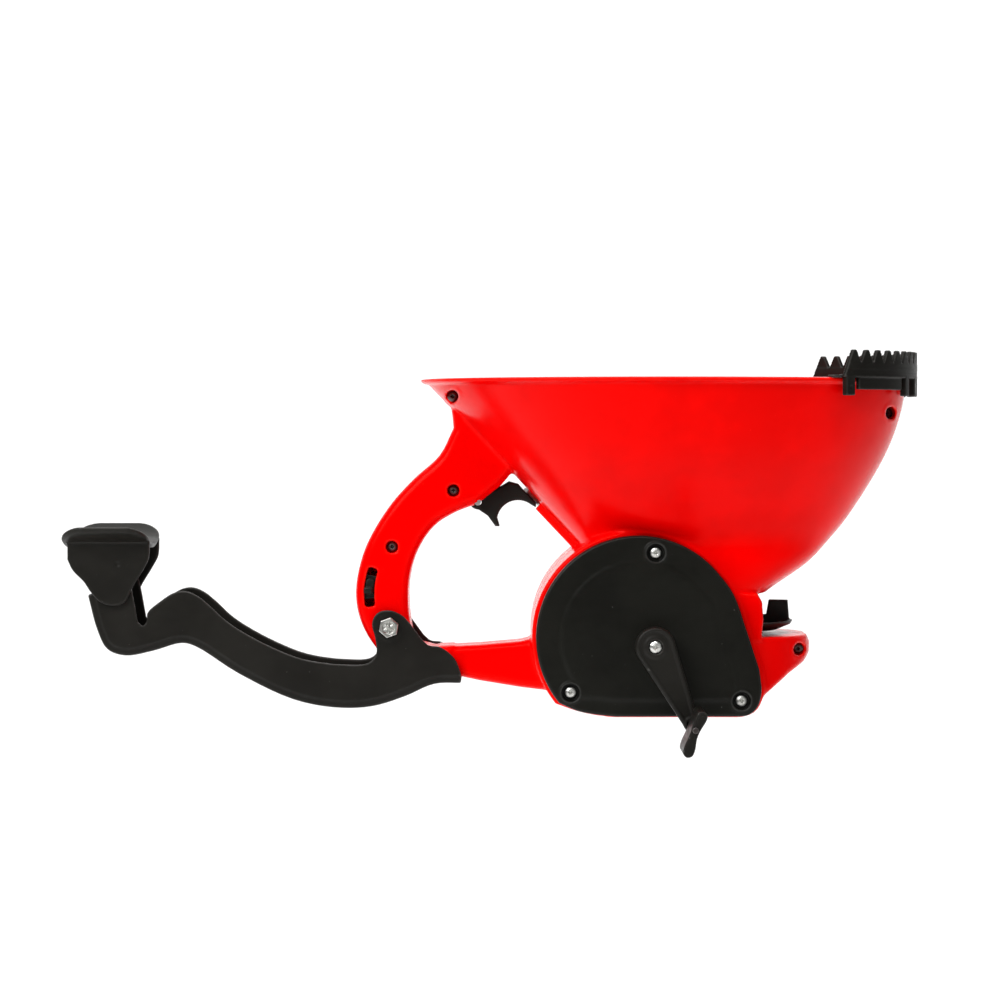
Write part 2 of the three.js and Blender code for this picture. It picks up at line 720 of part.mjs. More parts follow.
const sideReach = (TOP_BEVEL_TEETH * MODULE) / 2;
const topReach = (SIDE_BEVEL_TEETH * MODULE) / 2;
// The side bevel's own +Z points along -Y, and its own +Y along +Z.
const sideBevel = cut(
  bevelGear(SIDE_BEVEL_TEETH, sideReach, Math.PI / 2)
    .add(barZ(0, 0, 8, sideReach - 0.5, sideReach + 2.6)),
  [barZ(0, 0, SHAFT_R + GAP, -1, 20)],
).rotate([90, 0, 0]).translate([COUNTER.x, 0, COUNTER.z]);
const topBevel = cut(
  bevelGear(TOP_BEVEL_TEETH, topReach, -Math.PI / 2 + Math.PI / TOP_BEVEL_TEETH)
    .add(barZ(0, 0, 5.4, topReach - 0.5, topReach + 2.4)),
  [barZ(0, 0, SHAFT_R + GAP, -1, 20)],
).translate([COUNTER.x, 0, COUNTER.z]);
const counterShaft = barY(COUNTER, SHAFT_R, GEAR_Y[0] + 0.4, -sideReach * 0.62);
const impellerShaft = barZ(DISC.x, 0, SHAFT_R, COUNTER.z + topReach * 0.62, -22.4);
const crankShaft = barY(CRANK, 4, -58, -32);

// ---- throwing disc ----
function impellerSolid() {
  const bowl = toSolid(new THREE.LatheGeometry([
    new THREE.Vector2(0, -34.6),
    new THREE.Vector2(26, -34.2),
    new THREE.Vector2(32.6, -31.4),
    new THREE.Vector2(33.5, -29.6),
    new THREE.Vector2(32, -29.6),
    new THREE.Vector2(25, -32.2),
    new THREE.Vector2(9, -32.6),
    new THREE.Vector2(7.4, -31),
    new THREE.Vector2(5.2, -22),
    new THREE.Vector2(0, -21.4),
  ], 32).rotateX(Math.PI / 2));
  const blades = [];
  for (let k = 0; k < 4; k++) {
    const blade = prismY(shapeOf([
      [6, -33.2], [32.4, -30.6], [31.6, -19.8], [22, -19.6], [20.6, -27], [6, -28],
    ]), -BLADE_HALF, BLADE_HALF);
    blades.push(blade.rotate([0, 0, k * 90]));
  }
  return cut(join([bowl, ...blades]), [barZ(0, 0, SHAFT_R + GAP, -40, -22)])
    .translate([DISC.x, 0, 0]);
}

// ---- gear cover ----
const coverBlank = prismY(drumShape(0), ...COVER_Y, 1.2, 1);
const coverHollow = prismY(drumShape(-2), COVER_Y[0] + 2, COVER_Y[1] + 5);
const coverPosts = Object.values(COVER_SCREWS)
  .map((s) => barY(s, COVER_POCKET_R + 1.4, COVER_Y[0] + 1, COVER_Y[1]))
  .concat([barY(CRANK, 7, COVER_Y[0] - 1.4, COVER_Y[0] + 2.6)]);
const gearCover = cut(join([
  cut(coverBlank, [coverHollow]),
  join(coverPosts).intersect(prismY(drumShape(-0.6), COVER_Y[0] - 3, COVER_Y[1])),
]), [
  barY(CRANK, 4 + GAP, -60, -30),
  barY(CRANK, (DRIVE_TEETH * MODULE) / 2 + 1.8, GEAR_Y[0] - 0.5, COVER_Y[1] + 1, 32),
  barY(COUNTER, (PINION_TEETH * MODULE) / 2 + 1.8, GEAR_Y[0] - 0.5, COVER_Y[1] + 1, 20),
  ...Object.values(COVER_SCREWS).flatMap((s) => [
    barY(s, COVER_POCKET_R, COVER_Y[0] - 1, COVER_SCREW_HEAD_Y + 2.2),
    barY(s, 1.7, -50, -30, 8),
  ]),
]);

// ---- crank ----
const crankDirection = THREE.MathUtils.degToRad(CRANK_ANGLE);
const KNOB_AXIS = {
  x: CRANK.x + CRANK_LENGTH * Math.cos(crankDirection),
  z: CRANK.z + CRANK_LENGTH * Math.sin(crankDirection),
};

// The arm seen from the crank side: a large round hub and a small round end joined by straight edges.
function crankShape() {
  const hubR = 9.6;
  const endR = 3.6;
  const lean = Math.acos((hubR - endR) / CRANK_LENGTH);
  const shape = new THREE.Shape();
  shape.absarc(CRANK.x, CRANK.z, hubR, crankDirection + lean, crankDirection - lean);
  shape.absarc(KNOB_AXIS.x, KNOB_AXIS.z, endR, crankDirection - lean, crankDirection + lean);
  return shape;
}

const crankArm = cut(join([
  prismY(crankShape(), ...ARM_Y, 1, 1),
  bar([CRANK.x, ARM_Y[1] - 1, CRANK.z], [CRANK.x, COVER_Y[0] - 1.4 - GAP, CRANK.z], 8.6, 7.4, 16),
]), [
  barY(CRANK, 4 + GAP, -59, -40),
  barY(CRANK, 3.3, -70, -60.4),
  barY(CRANK, 1.8, -70, -50, 12),
  barY(KNOB_AXIS, KNOB_PIN_R + GAP, -70, -50),
  barY(KNOB_AXIS, 2.4, -70, ARM_Y[0] + 0.7, 16),
]);
const knobPin = join([
  barY(KNOB_AXIS, KNOB_PIN_R, KNOB_Y[0] - 0.6, ARM_Y[1] + 0.6),
  barY(KNOB_AXIS, 1.5, KNOB_Y[0] - 0.9, KNOB_Y[0] - GAP),
  barY(KNOB_AXIS, 2.4, ARM_Y[1] + GAP, ARM_Y[1] + 1.4),
]);

// The knob is a flat paddle with two round lobes and a narrow waist, which hangs from its pin.
function knobShape() {
  return shapeOf([
    [-1.6, 8.8], [0.6, 9.7], [2.6, 8.8], [3.4, 6.8], [2.2, 0.4], [2.1, -3.4], [3.3, -9.2],
    [2.9, -12.2], [0.6, -13.6], [-1.6, -12.2], [-2.3, -9.2], [-1.9, -3.4], [-2, 0.4], [-2.2, 6.8],
  ]);
}

const crankKnob = cut(
  prismY(knobShape(), ...KNOB_Y, 0.5, 1),
  [barY({ x: 0, z: 0 }, KNOB_PIN_R + GAP, -100, -50)],
).rotate([0, KNOB_LEAN, 0]).translate([KNOB_AXIS.x, 0, KNOB_AXIS.z]);

// ---- flow-rate stop ----
const STOP_CLIP = { ...STOP_ARC, from: 166, to: 184 };
const STOP_FACE = { ...STOP_ARC, from: 169, to: 181 };
const STOP_NUB = { ...STOP_ARC, from: 175.4, to: 179.6 };
const rateStop = join([
  prismY(arcBand(STOP_CLIP, 4), -GRIP_HALF + WALL + GAP, -GRIP_HALF + WALL + 1.8),
  prismY(arcBand(STOP_FACE, 2), -GRIP_HALF + 0.8, -GRIP_HALF + WALL + 1),
  prismY(arcBand(STOP_NUB, 1.9), -GRIP_HALF - 1.9, -GRIP_HALF + WALL),
]);

// ---- forearm support ----
// The underside runs from the front hook to the top of the upright.
const SUPPORT_UNDERSIDE = [
  [38.2, -60.4], [25, -60.9], [10.5, -67], [-6, -72], [-24, -72.6], [-45, -68.5], [-72.5, -55.4],
  [-93, -42.4], [-100, -40.6], [-114, -44.4], [-128, -46.8], [-137, -43.6], [-142, -34], [-146.6, -16.6],
];
const SUPPORT_TOP = [
  [-121.8, -29.6], [-119.4, -31.8], [-117.2, -29.6], [-116.8, -25.4], [-110, -19.4],
  [-104, -15.6], [-98.5, -14.6], [-92.5, -16.8], [-86, -22], [-79, -28.6], [-71, -34.2],
  [-56, -42.2], [-40, -48.4], [-20, -51.1],
  [-8, -50.4], [-3.8, -46], [-4.2, -38], [-5.8, -30.4], [-3, -25.4], [3, -24.2], [10, -27.4],
  [21.6, -41.2], [28, -42.4], [35, -48], [38.2, -55.4],
];

function supportOutline() {
  const tongue = new THREE.Shape();
  tongue.absarc(REST_PIVOT.x, REST_PIVOT.z, 8.4, Math.PI, 0, true);
  return [
    ...smoothLine(SUPPORT_UNDERSIDE, 24),
    new THREE.Vector2(-143.2, -15.8),
    ...tongue.getPoints(5),
    new THREE.Vector2(-124.4, -15.2),
    ...smoothLine(SUPPORT_TOP, 40),
  ];
}

function supportSolid() {
  const wallLift = SUPPORT_UNDERSIDE.map(([x, z], i, all) => {
    const before = all[Math.max(i - 1, 0)];
    const after = all[Math.min(i + 1, all.length - 1)];
    const along = new THREE.Vector2(after[0] - before[0], after[1] - before[1]).setLength(WALL);
    return [x + along.y, z - along.x];
  });
  const channel = new THREE.Shape([
    new THREE.Vector2(60, wallLift[0][1]),
    ...smoothLine(wallLift, 24),
    new THREE.Vector2(-143.2, 20),
    new THREE.Vector2(60, 20),
  ]);
  return cut(prismY(new THREE.Shape(supportOutline()), -SUPPORT_OUTER, SUPPORT_OUTER), [
    prismY(channel, -SUPPORT_INNER, SUPPORT_INNER),
    barY(BOLT, 2.5 + GAP, -30, 30),
    barY(REST_PIVOT, 3 + GAP, -30, 30),
  ]);
}

// The rest: two flaps outside the support's walls, under a saddle that curves up at both sides.
function flapShape() {
  const shape = new THREE.Shape();
  shape.moveTo(-155.9, 9.4);
  shape.lineTo(-155.9, 1);
  smoothLine([
    [-155.9, 1], [-153.4, -4.2], [-148, -9.8], [-144.2, -15.4], [-140, -19.8], [-134, -21.7],
    [-128, -20.2], [-123.8, -12.6], [-119, -4.8], [-116, 0.9], [-115.4, 5],
  ], 14).slice(1).forEach((p) => shape.lineTo(p.x, p.y));
  shape.lineTo(-115.4, 9.4);
  return shape;
}

function saddlePlan() {
  const { x0, x1, half: y1 } = SADDLE;
  const corner = 12;
  const shape = new THREE.Shape([new THREE.Vector2(x0 + corner, -y1)]);
  shape.lineTo(x1 - corner, -y1);
  shape.quadraticCurveTo(x1, -y1, x1, -y1 + corner);
  shape.lineTo(x1, y1 - corner);
  shape.quadraticCurveTo(x1, y1, x1 - corner, y1);
  shape.lineTo(x0 + corner, y1);
  shape.quadraticCurveTo(x0, y1, x0, y1 - corner);
  shape.lineTo(x0, -y1 + corner);
  shape.quadraticCurveTo(x0, -y1, x0 + corner, -y1);
  return shape;
}

function forearmRest() {
  const axisZ = SADDLE.bottomZ + SADDLE.r;
  const tube = (r) => bar([-170, 0, axisZ], [-100, 0, axisZ], r, r, 72);
  const sheet = tube(SADDLE.r + SADDLE.thick)
    .subtract(tube(SADDLE.r))
    .intersect(prismZ(saddlePlan(), 0, 24));
  const flaps = [-1, 1].map((side) => {
    const [near, far] = REST_FLAP_Y.map((y) => y * side).sort((a, b) => a - b);
    return prismY(flapShape(), near, far);
  });
  const pegs = [-1, 1].map((side) => {
    const from = [REST_PIVOT.x, side * 15.8, REST_PIVOT.z];
    return bar(from, [REST_PIVOT.x, side * 19, REST_PIVOT.z], 3);
  });
  return join([sheet, ...flaps, ...pegs]);
}

// ---- support bolt, washer and nut ----
function hexShape(at, acrossCorners) {
  const points = [];
  for (let k = 0; k < 6; k++) {
    const angle = (k / 6) * Math.PI * 2 + 0.35;
    points.push([at.x + (acrossCorners / 2) * Math.cos(angle), at.z + (acrossCorners / 2) * Math.sin(angle)]);
  }
  return shapeOf(points);
}

const supportBolt = cut(
  prismY(hexShape(BOLT, 10.2), -22.2, -SUPPORT_OUTER - 0.2, 0.5, 1)
    .add(barY(BOLT, 2.5, -SUPPORT_OUTER - 1, 24)),
  [barY(BOLT, 3, -24, -21.4)],
);
const boltWasher = barY(BOLT, 5.4, SUPPORT_OUTER + 0.2, SUPPORT_OUTER + 1.2)
  .subtract(barY(BOLT, 2.5 + GAP, 10, 30));
const supportNut = prismY(hexShape(BOLT, 9.2), SUPPORT_OUTER + 1.2 + GAP, SUPPORT_OUTER + 5.4, 0.4, 1)
  .subtract(barY(BOLT, 2.5 + GAP, 10, 30));

// ---- lump comb ----
// A point on the rim's outline, moved outwards, at an angle from the front.
function rimPoint(degrees, outward) {
  const angle = THREE.MathUtils.degToRad(degrees);
  const { front, rear, half: b } = hopperAt(RIM_Z);
  const a = (front - rear) / 2;
  return [(front + rear) / 2 + (a + outward) * Math.cos(angle), (b + outward) * Math.sin(angle)];
}

function rimBand(from, to, inner, outer) {
  const count = Math.max(1, Math.round((to - from) / COMB_STEP));
  const angles = Array.from({ length: count + 1 }, (_, i) => from + ((to - from) * i) / count);
  return shapeOf([
    ...angles.map((a) => rimPoint(a, outer)),
    ...angles.reverse().map((a) => rimPoint(a, inner)),
  ]);
}

function lumpComb() {
  const end = (COMB_TEETH / 2) * COMB_STEP;
  const toothAngles = Array.from({ length: COMB_TEETH }, (_, i) => (i - (COMB_TEETH - 1) / 2) * COMB_STEP);
  const teeth = toothAngles.map((middle) => {
    const ring = (halfAngle, z, inner, outer) => [
      [...rimPoint(middle - halfAngle, outer), z],
      [...rimPoint(middle + halfAngle, outer), z],
      [...rimPoint(middle + halfAngle, inner), z],
      [...rimPoint(middle - halfAngle, inner), z],
    ];
    return loft([
      ring(COMB_STEP * 0.5, COMB_Z.valley - 0.5, 0, 2.2),
      ring(COMB_STEP * 0.13, COMB_Z.tip, 0.1, 2.1),
    ]);
  });
  const outside = RIM_PROUD + GAP;
  const lugs = [-47.3, -16, -5, 5, 16, 47.3].map((a) => (
    prismZ(rimBand(a - 1.4, a + 1.4, outside, outside + 4), COMB_Z.lug, COMB_Z.base + 1)
  ));
  // The two ends lean inwards towards their tips.
  const endCuts = [-1, 1].map((side) => {
    const [x, y] = rimPoint(side * end, 1);
    const [nextX, nextY] = rimPoint(side * (end + 1), 1);
    const heading = THREE.MathUtils.radToDeg(Math.atan2(nextY - y, nextX - x));
    const lean = shapeOf([[0, COMB_Z.base + 1], [14, COMB_Z.base + 1], [14, 105], [-3.4, 105]]);
    return prismY(lean, -6, 6).rotate([0, 0, heading]).translate([x, y, 0]);
  });
  const rack = cut(join([
    prismZ(rimBand(-end, end, 0, 2.2), COMB_Z.base, COMB_Z.valley),
    ...teeth,
  ]), endCuts);
  const skirts = [[-43, -20], [20, 43]].map(([from, to]) => (
    prismZ(rimBand(from, to, outside, outside + 2), COMB_Z.skirt, COMB_Z.base + 1)
  ));
  return join([
    prismZ(rimBand(-end - 3, end + 3, -1.4, 2.4), COMB_Z.base, COMB_Z.base + 1),
    prismZ(rimBand(-end, end, 1, outside + 2), COMB_Z.base, COMB_Z.base + 1.4),
    rack,
    ...skirts,
    ...lugs,
  ]);
}

// ---- assembly ----
const spreader = new THREE.Group();

function place(name, solid, look) {
  const mesh = new THREE.Mesh(toGeometry(solid), new THREE.MeshStandardMaterial(look));
  mesh.name = name;
  spreader.add(mesh);
}

place('shell_right', shellRight, RED);
place('shell_left', shellLeft, RED);
place('impeller_bush', impellerBush, WHITE_PLASTIC);
place('gear_cover', gearCover, BLACK);
for (const [name, at] of Object.entries(COVER_SCREWS)) {
  place(name, screw(at, COVER_SCREW_HEAD_Y, 2.7, 1.9, 12, 1.3), STEEL);
}
for (const [name, at] of Object.entries(SHELL_SCREWS)) {
  place(name, screw(at, at.floorY - 2.3, SHELL_HEAD_R, 2, 20, SHELL_SHANK_R), STEEL);
}
place('crank_arm', crankArm, BLACK);
place('crank_shaft', crankShaft, STEEL);
place('crank_screw', screw(CRANK, -62.4, 3, 2, 2.2, 1.4), STEEL);
place('drive_gear', driveGear, WHITE_PLASTIC);
place('knob_pin', knobPin, STEEL);
place('crank_knob', crankKnob, BLACK);
place('pinion_gear', pinionGear, WHITE_PLASTIC);
place('counter_shaft', counterShaft, STEEL);
place('side_bevel_gear', sideBevel, WHITE_PLASTIC);
place('top_bevel_gear', topBevel, WHITE_PLASTIC);
place('impeller_shaft', impellerShaft, STEEL);
place('impeller', impellerSolid(), BLACK);
place('trigger', trigger, BLACK);
place('trigger_pin', triggerPin, STEEL);
place('gate_rod', gateRod, STEEL);
place('gate', gate.add(gateSpringPad), BLACK);
place('return_spring', returnSpring, STEEL);
place('rate_stop', rateStop, BLACK);
place('arm_support', supportSolid(), BLACK);
place('support_bolt', supportBolt, STEEL);
place('bolt_washer', boltWasher, STEEL);
place('support_nut', supportNut, STEEL);
place('forearm_rest', forearmRest(), BLACK);
place('lump_comb', lumpComb(), BLACK);

export default spreader;
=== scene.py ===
"""Garden spreader: finished surfaces, materials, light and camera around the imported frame.

Each visible piece is carved from a signed field. A field takes x, y and z in millimetres and is negative
inside the material. carve() meshes it, moves its points onto the surface and writes the mesh in metres.
"""

import math

import bpy
import numpy as np
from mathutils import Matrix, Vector


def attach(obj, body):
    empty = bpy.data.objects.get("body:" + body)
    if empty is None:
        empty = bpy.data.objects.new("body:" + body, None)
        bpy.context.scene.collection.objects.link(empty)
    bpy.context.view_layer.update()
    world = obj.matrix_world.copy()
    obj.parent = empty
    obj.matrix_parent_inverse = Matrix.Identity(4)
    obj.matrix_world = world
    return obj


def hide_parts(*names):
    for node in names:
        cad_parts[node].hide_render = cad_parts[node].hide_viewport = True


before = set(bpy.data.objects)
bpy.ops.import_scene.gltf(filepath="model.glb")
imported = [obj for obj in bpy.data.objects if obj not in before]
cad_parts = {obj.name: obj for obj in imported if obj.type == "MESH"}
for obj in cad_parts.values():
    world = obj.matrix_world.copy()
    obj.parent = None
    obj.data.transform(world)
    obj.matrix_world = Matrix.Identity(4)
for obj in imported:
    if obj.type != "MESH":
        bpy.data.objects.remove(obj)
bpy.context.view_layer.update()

MM = 0.001
COARSER = 1.0

# ---- driving dimensions, in millimetres ----
WALL = 2.5
SPLIT = 0.15  # half the gap between the two shells

RIM_Z = 90
RIM_PROUD = 1.8
RIM_DEPTH = 2.4
FLOOR_Z = -15.5
REAR_TIP = (21, 88.5)
REAR_RUN = 0.947

HALF_WIDTH = 37
DRUM = (124.8, -36, 49.8)
DRUM_PROUD = 1.9
BASE_Z = -74
DECK_Z = -36
DECK_THICK = 2
DECK_NOSE_X = 175.7
NECK_FRONT_X = 185
DISC_X = 170
CHAMBER_R = 34.4
COVER_Y = (-46.2, -37.3)

CRANK = (132, -39)
CRANK_LENGTH = 41
CRANK_ANGLE = math.radians(-64.9)
KNOB_AXIS = (
    CRANK[0] + CRANK_LENGTH * math.cos(CRANK_ANGLE),
    CRANK[1] + CRANK_LENGTH * math.sin(CRANK_ANGLE),
)
ARM_Y = (-62, -54.5)
KNOB_Y = (-88, -63)
KNOB_LEAN = math.radians(21)
KNOB_PIN_R = 0.9

GRIP_HALF = 15
BAR_HALF = 12.5
TRIGGER = (46.5, 29)
TRIGGER_HALF = 5.6
FINGER = (66.5, 19.5, 10.5)
ROD_SLOPE = np.array([0.6876, -0.7261])
ROD_START = np.array([75.9, 29.15])
STOP_ARC = (29.9, -16.1, 37.2)

BOLT = (2.6, -32.5)
SUPPORT_HALF = 18
REST_PIVOT = (-134.7, -7.3)
REST_FLAP_Y = (18.4, 20.9)
SADDLE = {"x": (-158.6, -115.5), "half": 32, "bottom": 8.8, "r": 60, "thick": 2.6, "corner": 12}

COMB_TEETH = 20
COMB_PITCH = 8.2
COMB_END = (COMB_TEETH / 2 - 0.5) * COMB_PITCH + 6
COMB_WALL = (3, 5.2)  # outside the rim
COMB_LUGS = (3.5, 12.3, 21.5, 47.2)  # degrees from the front, on both sides
COMB_LUG_Z = 81.5
COMB_SKIRT_Z = 84.4
COMB_BASE_Z = 90.3
COMB_VALLEY_Z = 97.4
COMB_TIP_Z = 103.4

COVER_SCREWS = {
    "cover_screw_top": (132.9, 5.5),
    "cover_screw_rear": (91.7, -62.3),
    "cover_screw_front": (174.6, -66.3),
}
# Place and the Y of the recess's floor.
SHELL_SCREWS = {
    "shell_screw_rim_rear": (34.1, 81.5, -16),
    "shell_screw_rim_front": (248.6, 73.3, -16),
    "shell_screw_nose": (204.8, -43, -16),
    "shell_screw_handle_top": (34.4, 35, -10.5),
    "shell_screw_handle_middle": (4, 7.1, -10.5),
}


# ---- curves ----
def smooth_line(points, per_span):
    """A centripetal curve through the points, which may have two or three coordinates."""
    p = [np.array(q, float) for q in points]
    p = [2 * p[0] - p[1]] + p + [2 * p[-1] - p[-2]]
    out = []
    for a, b, c, d in zip(p, p[1:], p[2:], p[3:]):
        t0 = 0.0
        t1 = t0 + math.sqrt(np.linalg.norm(b - a))
        t2 = t1 + math.sqrt(np.linalg.norm(c - b))
        t3 = t2 + math.sqrt(np.linalg.norm(d - c))
        for k in range(per_span):
            t = t1 + (t2 - t1) * k / per_span
            ab = a * (t1 - t) / (t1 - t0) + b * (t - t0) / (t1 - t0)
            bc = b * (t2 - t) / (t2 - t1) + c * (t - t1) / (t2 - t1)
            cd = c * (t3 - t) / (t3 - t2) + d * (t - t2) / (t3 - t2)
            abc = ab * (t2 - t) / (t2 - t0) + bc * (t - t0) / (t2 - t0)
            bcd = bc * (t3 - t) / (t3 - t1) + cd * (t - t1) / (t3 - t1)
            out.append(abc * (t2 - t) / (t2 - t1) + bcd * (t - t1) / (t2 - t1))
    out.append(p[-2])
    return [tuple(q) for q in out]


def arc(cx, cz, r, start, end, count):
    """Points on an arc, from one angle to another in degrees."""
    angles = np.radians(np.linspace(start, end, count))
    return [(cx + r * math.cos(a), cz + r * math.sin(a)) for a in angles]


# ---- signed fields ----
def union(k, *parts):
    """The parts together, with a fillet of about k where they meet."""
    out = parts[0]
    for part in parts[1:]:
        h = np.maximum(k - np.abs(out - part), 0) / k
        out = np.minimum(out, part) - h * h * k / 4
    return out


def overlap(k, *parts):
    return -union(k, *[-part for part in parts])


def without(k, solid, *tools):
    return overlap(k, solid, *[-tool for tool in tools])


def corner(r, a, b):
    """Where a and b overlap, with their shared edge rounded to radius r."""
    a, b = a + r, b + r
    return np.minimum(np.maximum(a, b), 0) + np.hypot(np.maximum(a, 0), np.maximum(b, 0)) - r


def outline(x, z, points):
    """Signed distance from (x, z) to a closed outline."""
    best = None
    odd = None
    for (x0, z0), (x1, z1) in zip(points, points[1:] + points[:1]):
        ex, ez = x1 - x0, z1 - z0
        size = ex * ex + ez * ez
        if size < 1e-9:
            continue
        wx, wz = x - x0, z - z0
        t = np.clip((wx * ex + wz * ez) / size, 0, 1)
        near = (wx - ex * t) ** 2 + (wz - ez * t) ** 2
        best = near if best is None else np.minimum(best, near)
        if abs(ez) > 1e-9:
            crossing = ((z0 <= z) != (z1 <= z)) & (x < x0 + wz * ex / ez)
            odd = crossing if odd is None else odd ^ crossing
    return np.where(odd, -1, 1) * np.sqrt(best)


def slab(y, y0, y1):
    return np.abs(y - (y0 + y1) / 2) - (y1 - y0) / 2


def prism(x, y, z, points, y0, y1, r=0.6):
    """An outline in X and Z carried along Y, with edges rounded to radius r."""
    return corner(r, outline(x, z, points), slab(y, y0, y1))


def disc(a, b, at, r):
    return np.hypot(a - at[0], b - at[1]) - r


def pin_y(x, y, z, at, r, y0, y1, edge=0.3):
    return corner(edge, disc(x, z, at, r), slab(y, y0, y1))


def box(x, y, z, x0, x1, y0, y1, z0, z1, edge=0.5):
    return corner(edge, corner(edge, slab(x, x0, x1), slab(y, y0, y1)), slab(z, z0, z1))


# ---- meshing ----
CORNERS = np.array([(i, j, k) for i in (0, 1) for j in (0, 1) for k in (0, 1)])
EDGES = [(a, b) for a in range(8) for b in range(a + 1, 8) if np.abs(CORNERS[a] - CORNERS[b]).sum() == 1]


def surface_net(values):
    """One point in each grid cell that the surface crosses, and the quads that join them."""
    inside = values < 0
    width, depth, height = (size - 1 for size in values.shape)
    count = sum(
        inside[i:width + i, j:depth + j, k:height + k].astype(np.int8)
        for i, j, k in CORNERS
    )
    crossed = (count > 0) & (count < 8)
    cells = np.argwhere(crossed)
    number = np.full(crossed.shape, -1, np.int32)
    number[crossed] = np.arange(len(cells))
    at_corner = [values[tuple((cells + c).T)] for c in CORNERS]
    total = np.zeros((len(cells), 3))
    crossings = np.zeros(len(cells))
    for a, b in EDGES:
        hit = (at_corner[a] < 0) != (at_corner[b] < 0)
        share = np.where(hit, at_corner[a] / np.where(hit, at_corner[a] - at_corner[b], 1), 0)
        total += hit[:, None] * (CORNERS[a] + share[:, None] * (CORNERS[b] - CORNERS[a]))
        crossings += hit
    points = cells + total / crossings[:, None]
    quads = []
    for axis in range(3):
        one, two = (axis + 1) % 3, (axis + 2) % 3
        near = np.take(inside, range(inside.shape[axis] - 1), axis)
        far = np.take(inside, range(1, inside.shape[axis]), axis)
        edges = np.argwhere(near != far)
        ring = []
        for step_one, step_two in ((-1, -1), (0, -1), (0, 0), (-1, 0)):
            cell = edges.copy()
            cell[:, one] += step_one
            cell[:, two] += step_two
            ring.append(number[tuple(cell.T)])
        ring = np.stack(ring, 1)
        leaving = near[tuple(edges.T)]
        quads.append(np.where(leaving[:, None], ring, ring[:, ::-1]))
    return points, np.concatenate(quads)


def settle(points, field, step):
    """Moves points onto the field's surface along its slope."""
    def at(p):
        return field(p[:, 0], p[:, 1], p[:, 2])

    nudge = step * 0.25
    slope = np.stack([at(points + nudge * unit) - at(points - nudge * unit) for unit in np.eye(3)], 1)
    slope /= 2 * nudge
    size = np.maximum((slope ** 2).sum(1), 0.2)
    for _ in range(2):
        move = np.clip(at(points) / size, -step * 0.4, step * 0.4)
        points = points - move[:, None] * slope
    return points


def carve(name, field, low, high, step, body, material, slot, nodes):
    """Meshes a field between two corners and makes it a piece that stands for CAD nodes."""
    step *= COARSER
    low = np.array(low, float) - 2.3 * step
    axes = [np.arange(a, b + 3 * step, step) for a, b in zip(low, high)]
    y, z = axes[1][None, :, None], axes[2][None, None, :]
    values = np.empty([len(a) for a in axes], np.float32)
    rows = 24
    for start in range(0, len(axes[0]), rows):
        values[start:start + rows] = field(axes[0][start:start + rows, None, None], y, z)
    points, quads = surface_net(values)
    points = settle(low + points * step, field, step)
    mesh = bpy.data.meshes.new(name)
    mesh.vertices.add(len(points))
    mesh.vertices.foreach_set("co", (points * MM).astype(np.float32).ravel())
    mesh.loops.add(quads.size)
    mesh.loops.foreach_set("vertex_index", quads.ravel())
    mesh.polygons.add(len(quads))
    mesh.polygons.foreach_set("loop_start", np.arange(0, quads.size, 4))
    mesh.update(calc_edges=True)
    mesh.validate()
    mesh.shade_smooth()
    piece = bpy.data.objects.new(name, mesh)
    bpy.context.scene.collection.objects.link(piece)
    mesh.materials.append(material)
    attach(piece, body)
    if nodes:
        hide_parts(*nodes)
    return piece


# ---- hopper ----
PROFILE = np.array(smooth_line([
    (178, 36.6, -26),
    (189, 37, FLOOR_Z),
    (211.4, 37.1, 0.2),
    (221.3, 37.2, 10.6),
    (231, 44, 22.5),
    (250.3, 67, 54.5),
    (257.6, 77, 75),
    (260, 83, RIM_Z),
], 12))
PROFILE_Z = PROFILE[:, 2]
FRONT_SLOPE = np.gradient(PROFILE[:, 0], PROFILE_Z)
HALF_SLOPE = np.gradient(PROFILE[:, 1], PROFILE_Z)


def hopper(x, y, z):
    """Distance to the bowl: an ellipse at the rim, squarer towards the floor, with a straight rear wall."""
    front = np.interp(z, PROFILE_Z, PROFILE[:, 0])
    half = np.interp(z, PROFILE_Z, PROFILE[:, 1])
    front_slope = np.interp(z, PROFILE_Z, FRONT_SLOPE)
    half_slope = np.interp(z, PROFILE_Z, HALF_SLOPE)
    rear = REAR_TIP[0] + (REAR_TIP[1] - z) * REAR_RUN
    a, centre = np.maximum((front - rear) / 2, 1), (front + rear) / 2
    a_slope, centre_slope = (front_slope + REAR_RUN) / 2, (front_slope - REAR_RUN) / 2
    height = np.clip((z - FLOOR_Z) / (RIM_Z - FLOOR_Z), 0, 1)
    p = 2 + 1.4 * (1 - height) ** 2
    side = np.sign(x - centre)
    u = np.abs(x - centre) / a + 1e-4
    v = np.abs(y) / half + 1e-4
    g = (u ** p + v ** p) ** (1 / p)
    gx = (u / g) ** (p - 1) / a
    gy = (v / g) ** (p - 1) / half
    gz = gx * (side * centre_slope + u * a_slope) + gy * v * half_slope
    return (g - 1) / np.sqrt(gx ** 2 + gy ** 2 + gz ** 2)


# ---- lower housing ----
def drum_outline(grow):
    cx, cz, radius = DRUM
    r = radius + grow
    base = BASE_Z - grow * 0.6
    heel = arc(cx, cz, r, 219, 219, 1)[0]
    brow = arc(cx, cz, r, 40, 40, 1)[0]
    toe = 184.4 + grow
    points = smooth_line([heel, (95, -71.2 - grow * 0.5), (104, -73 - grow * 0.6), (113.5, base)], 5)
    for t in np.linspace(0, 1, 9):
        across = 173.5 * (1 - t) ** 2 + toe * (2 * t * (1 - t) + t * t)
        up = base * (1 - t * t) - 60 * t * t
        points.append((across, up))
    points.append((183.2 + grow, -51))
    points += smooth_line([
        (175.8 + grow, -28.5),
        (172.6 + grow, -19),
        (169.2 + grow * 0.9, -12 + grow * 0.4),
        brow,
    ], 4)
    return points + arc(cx, cz, r, 44, 215, 50)


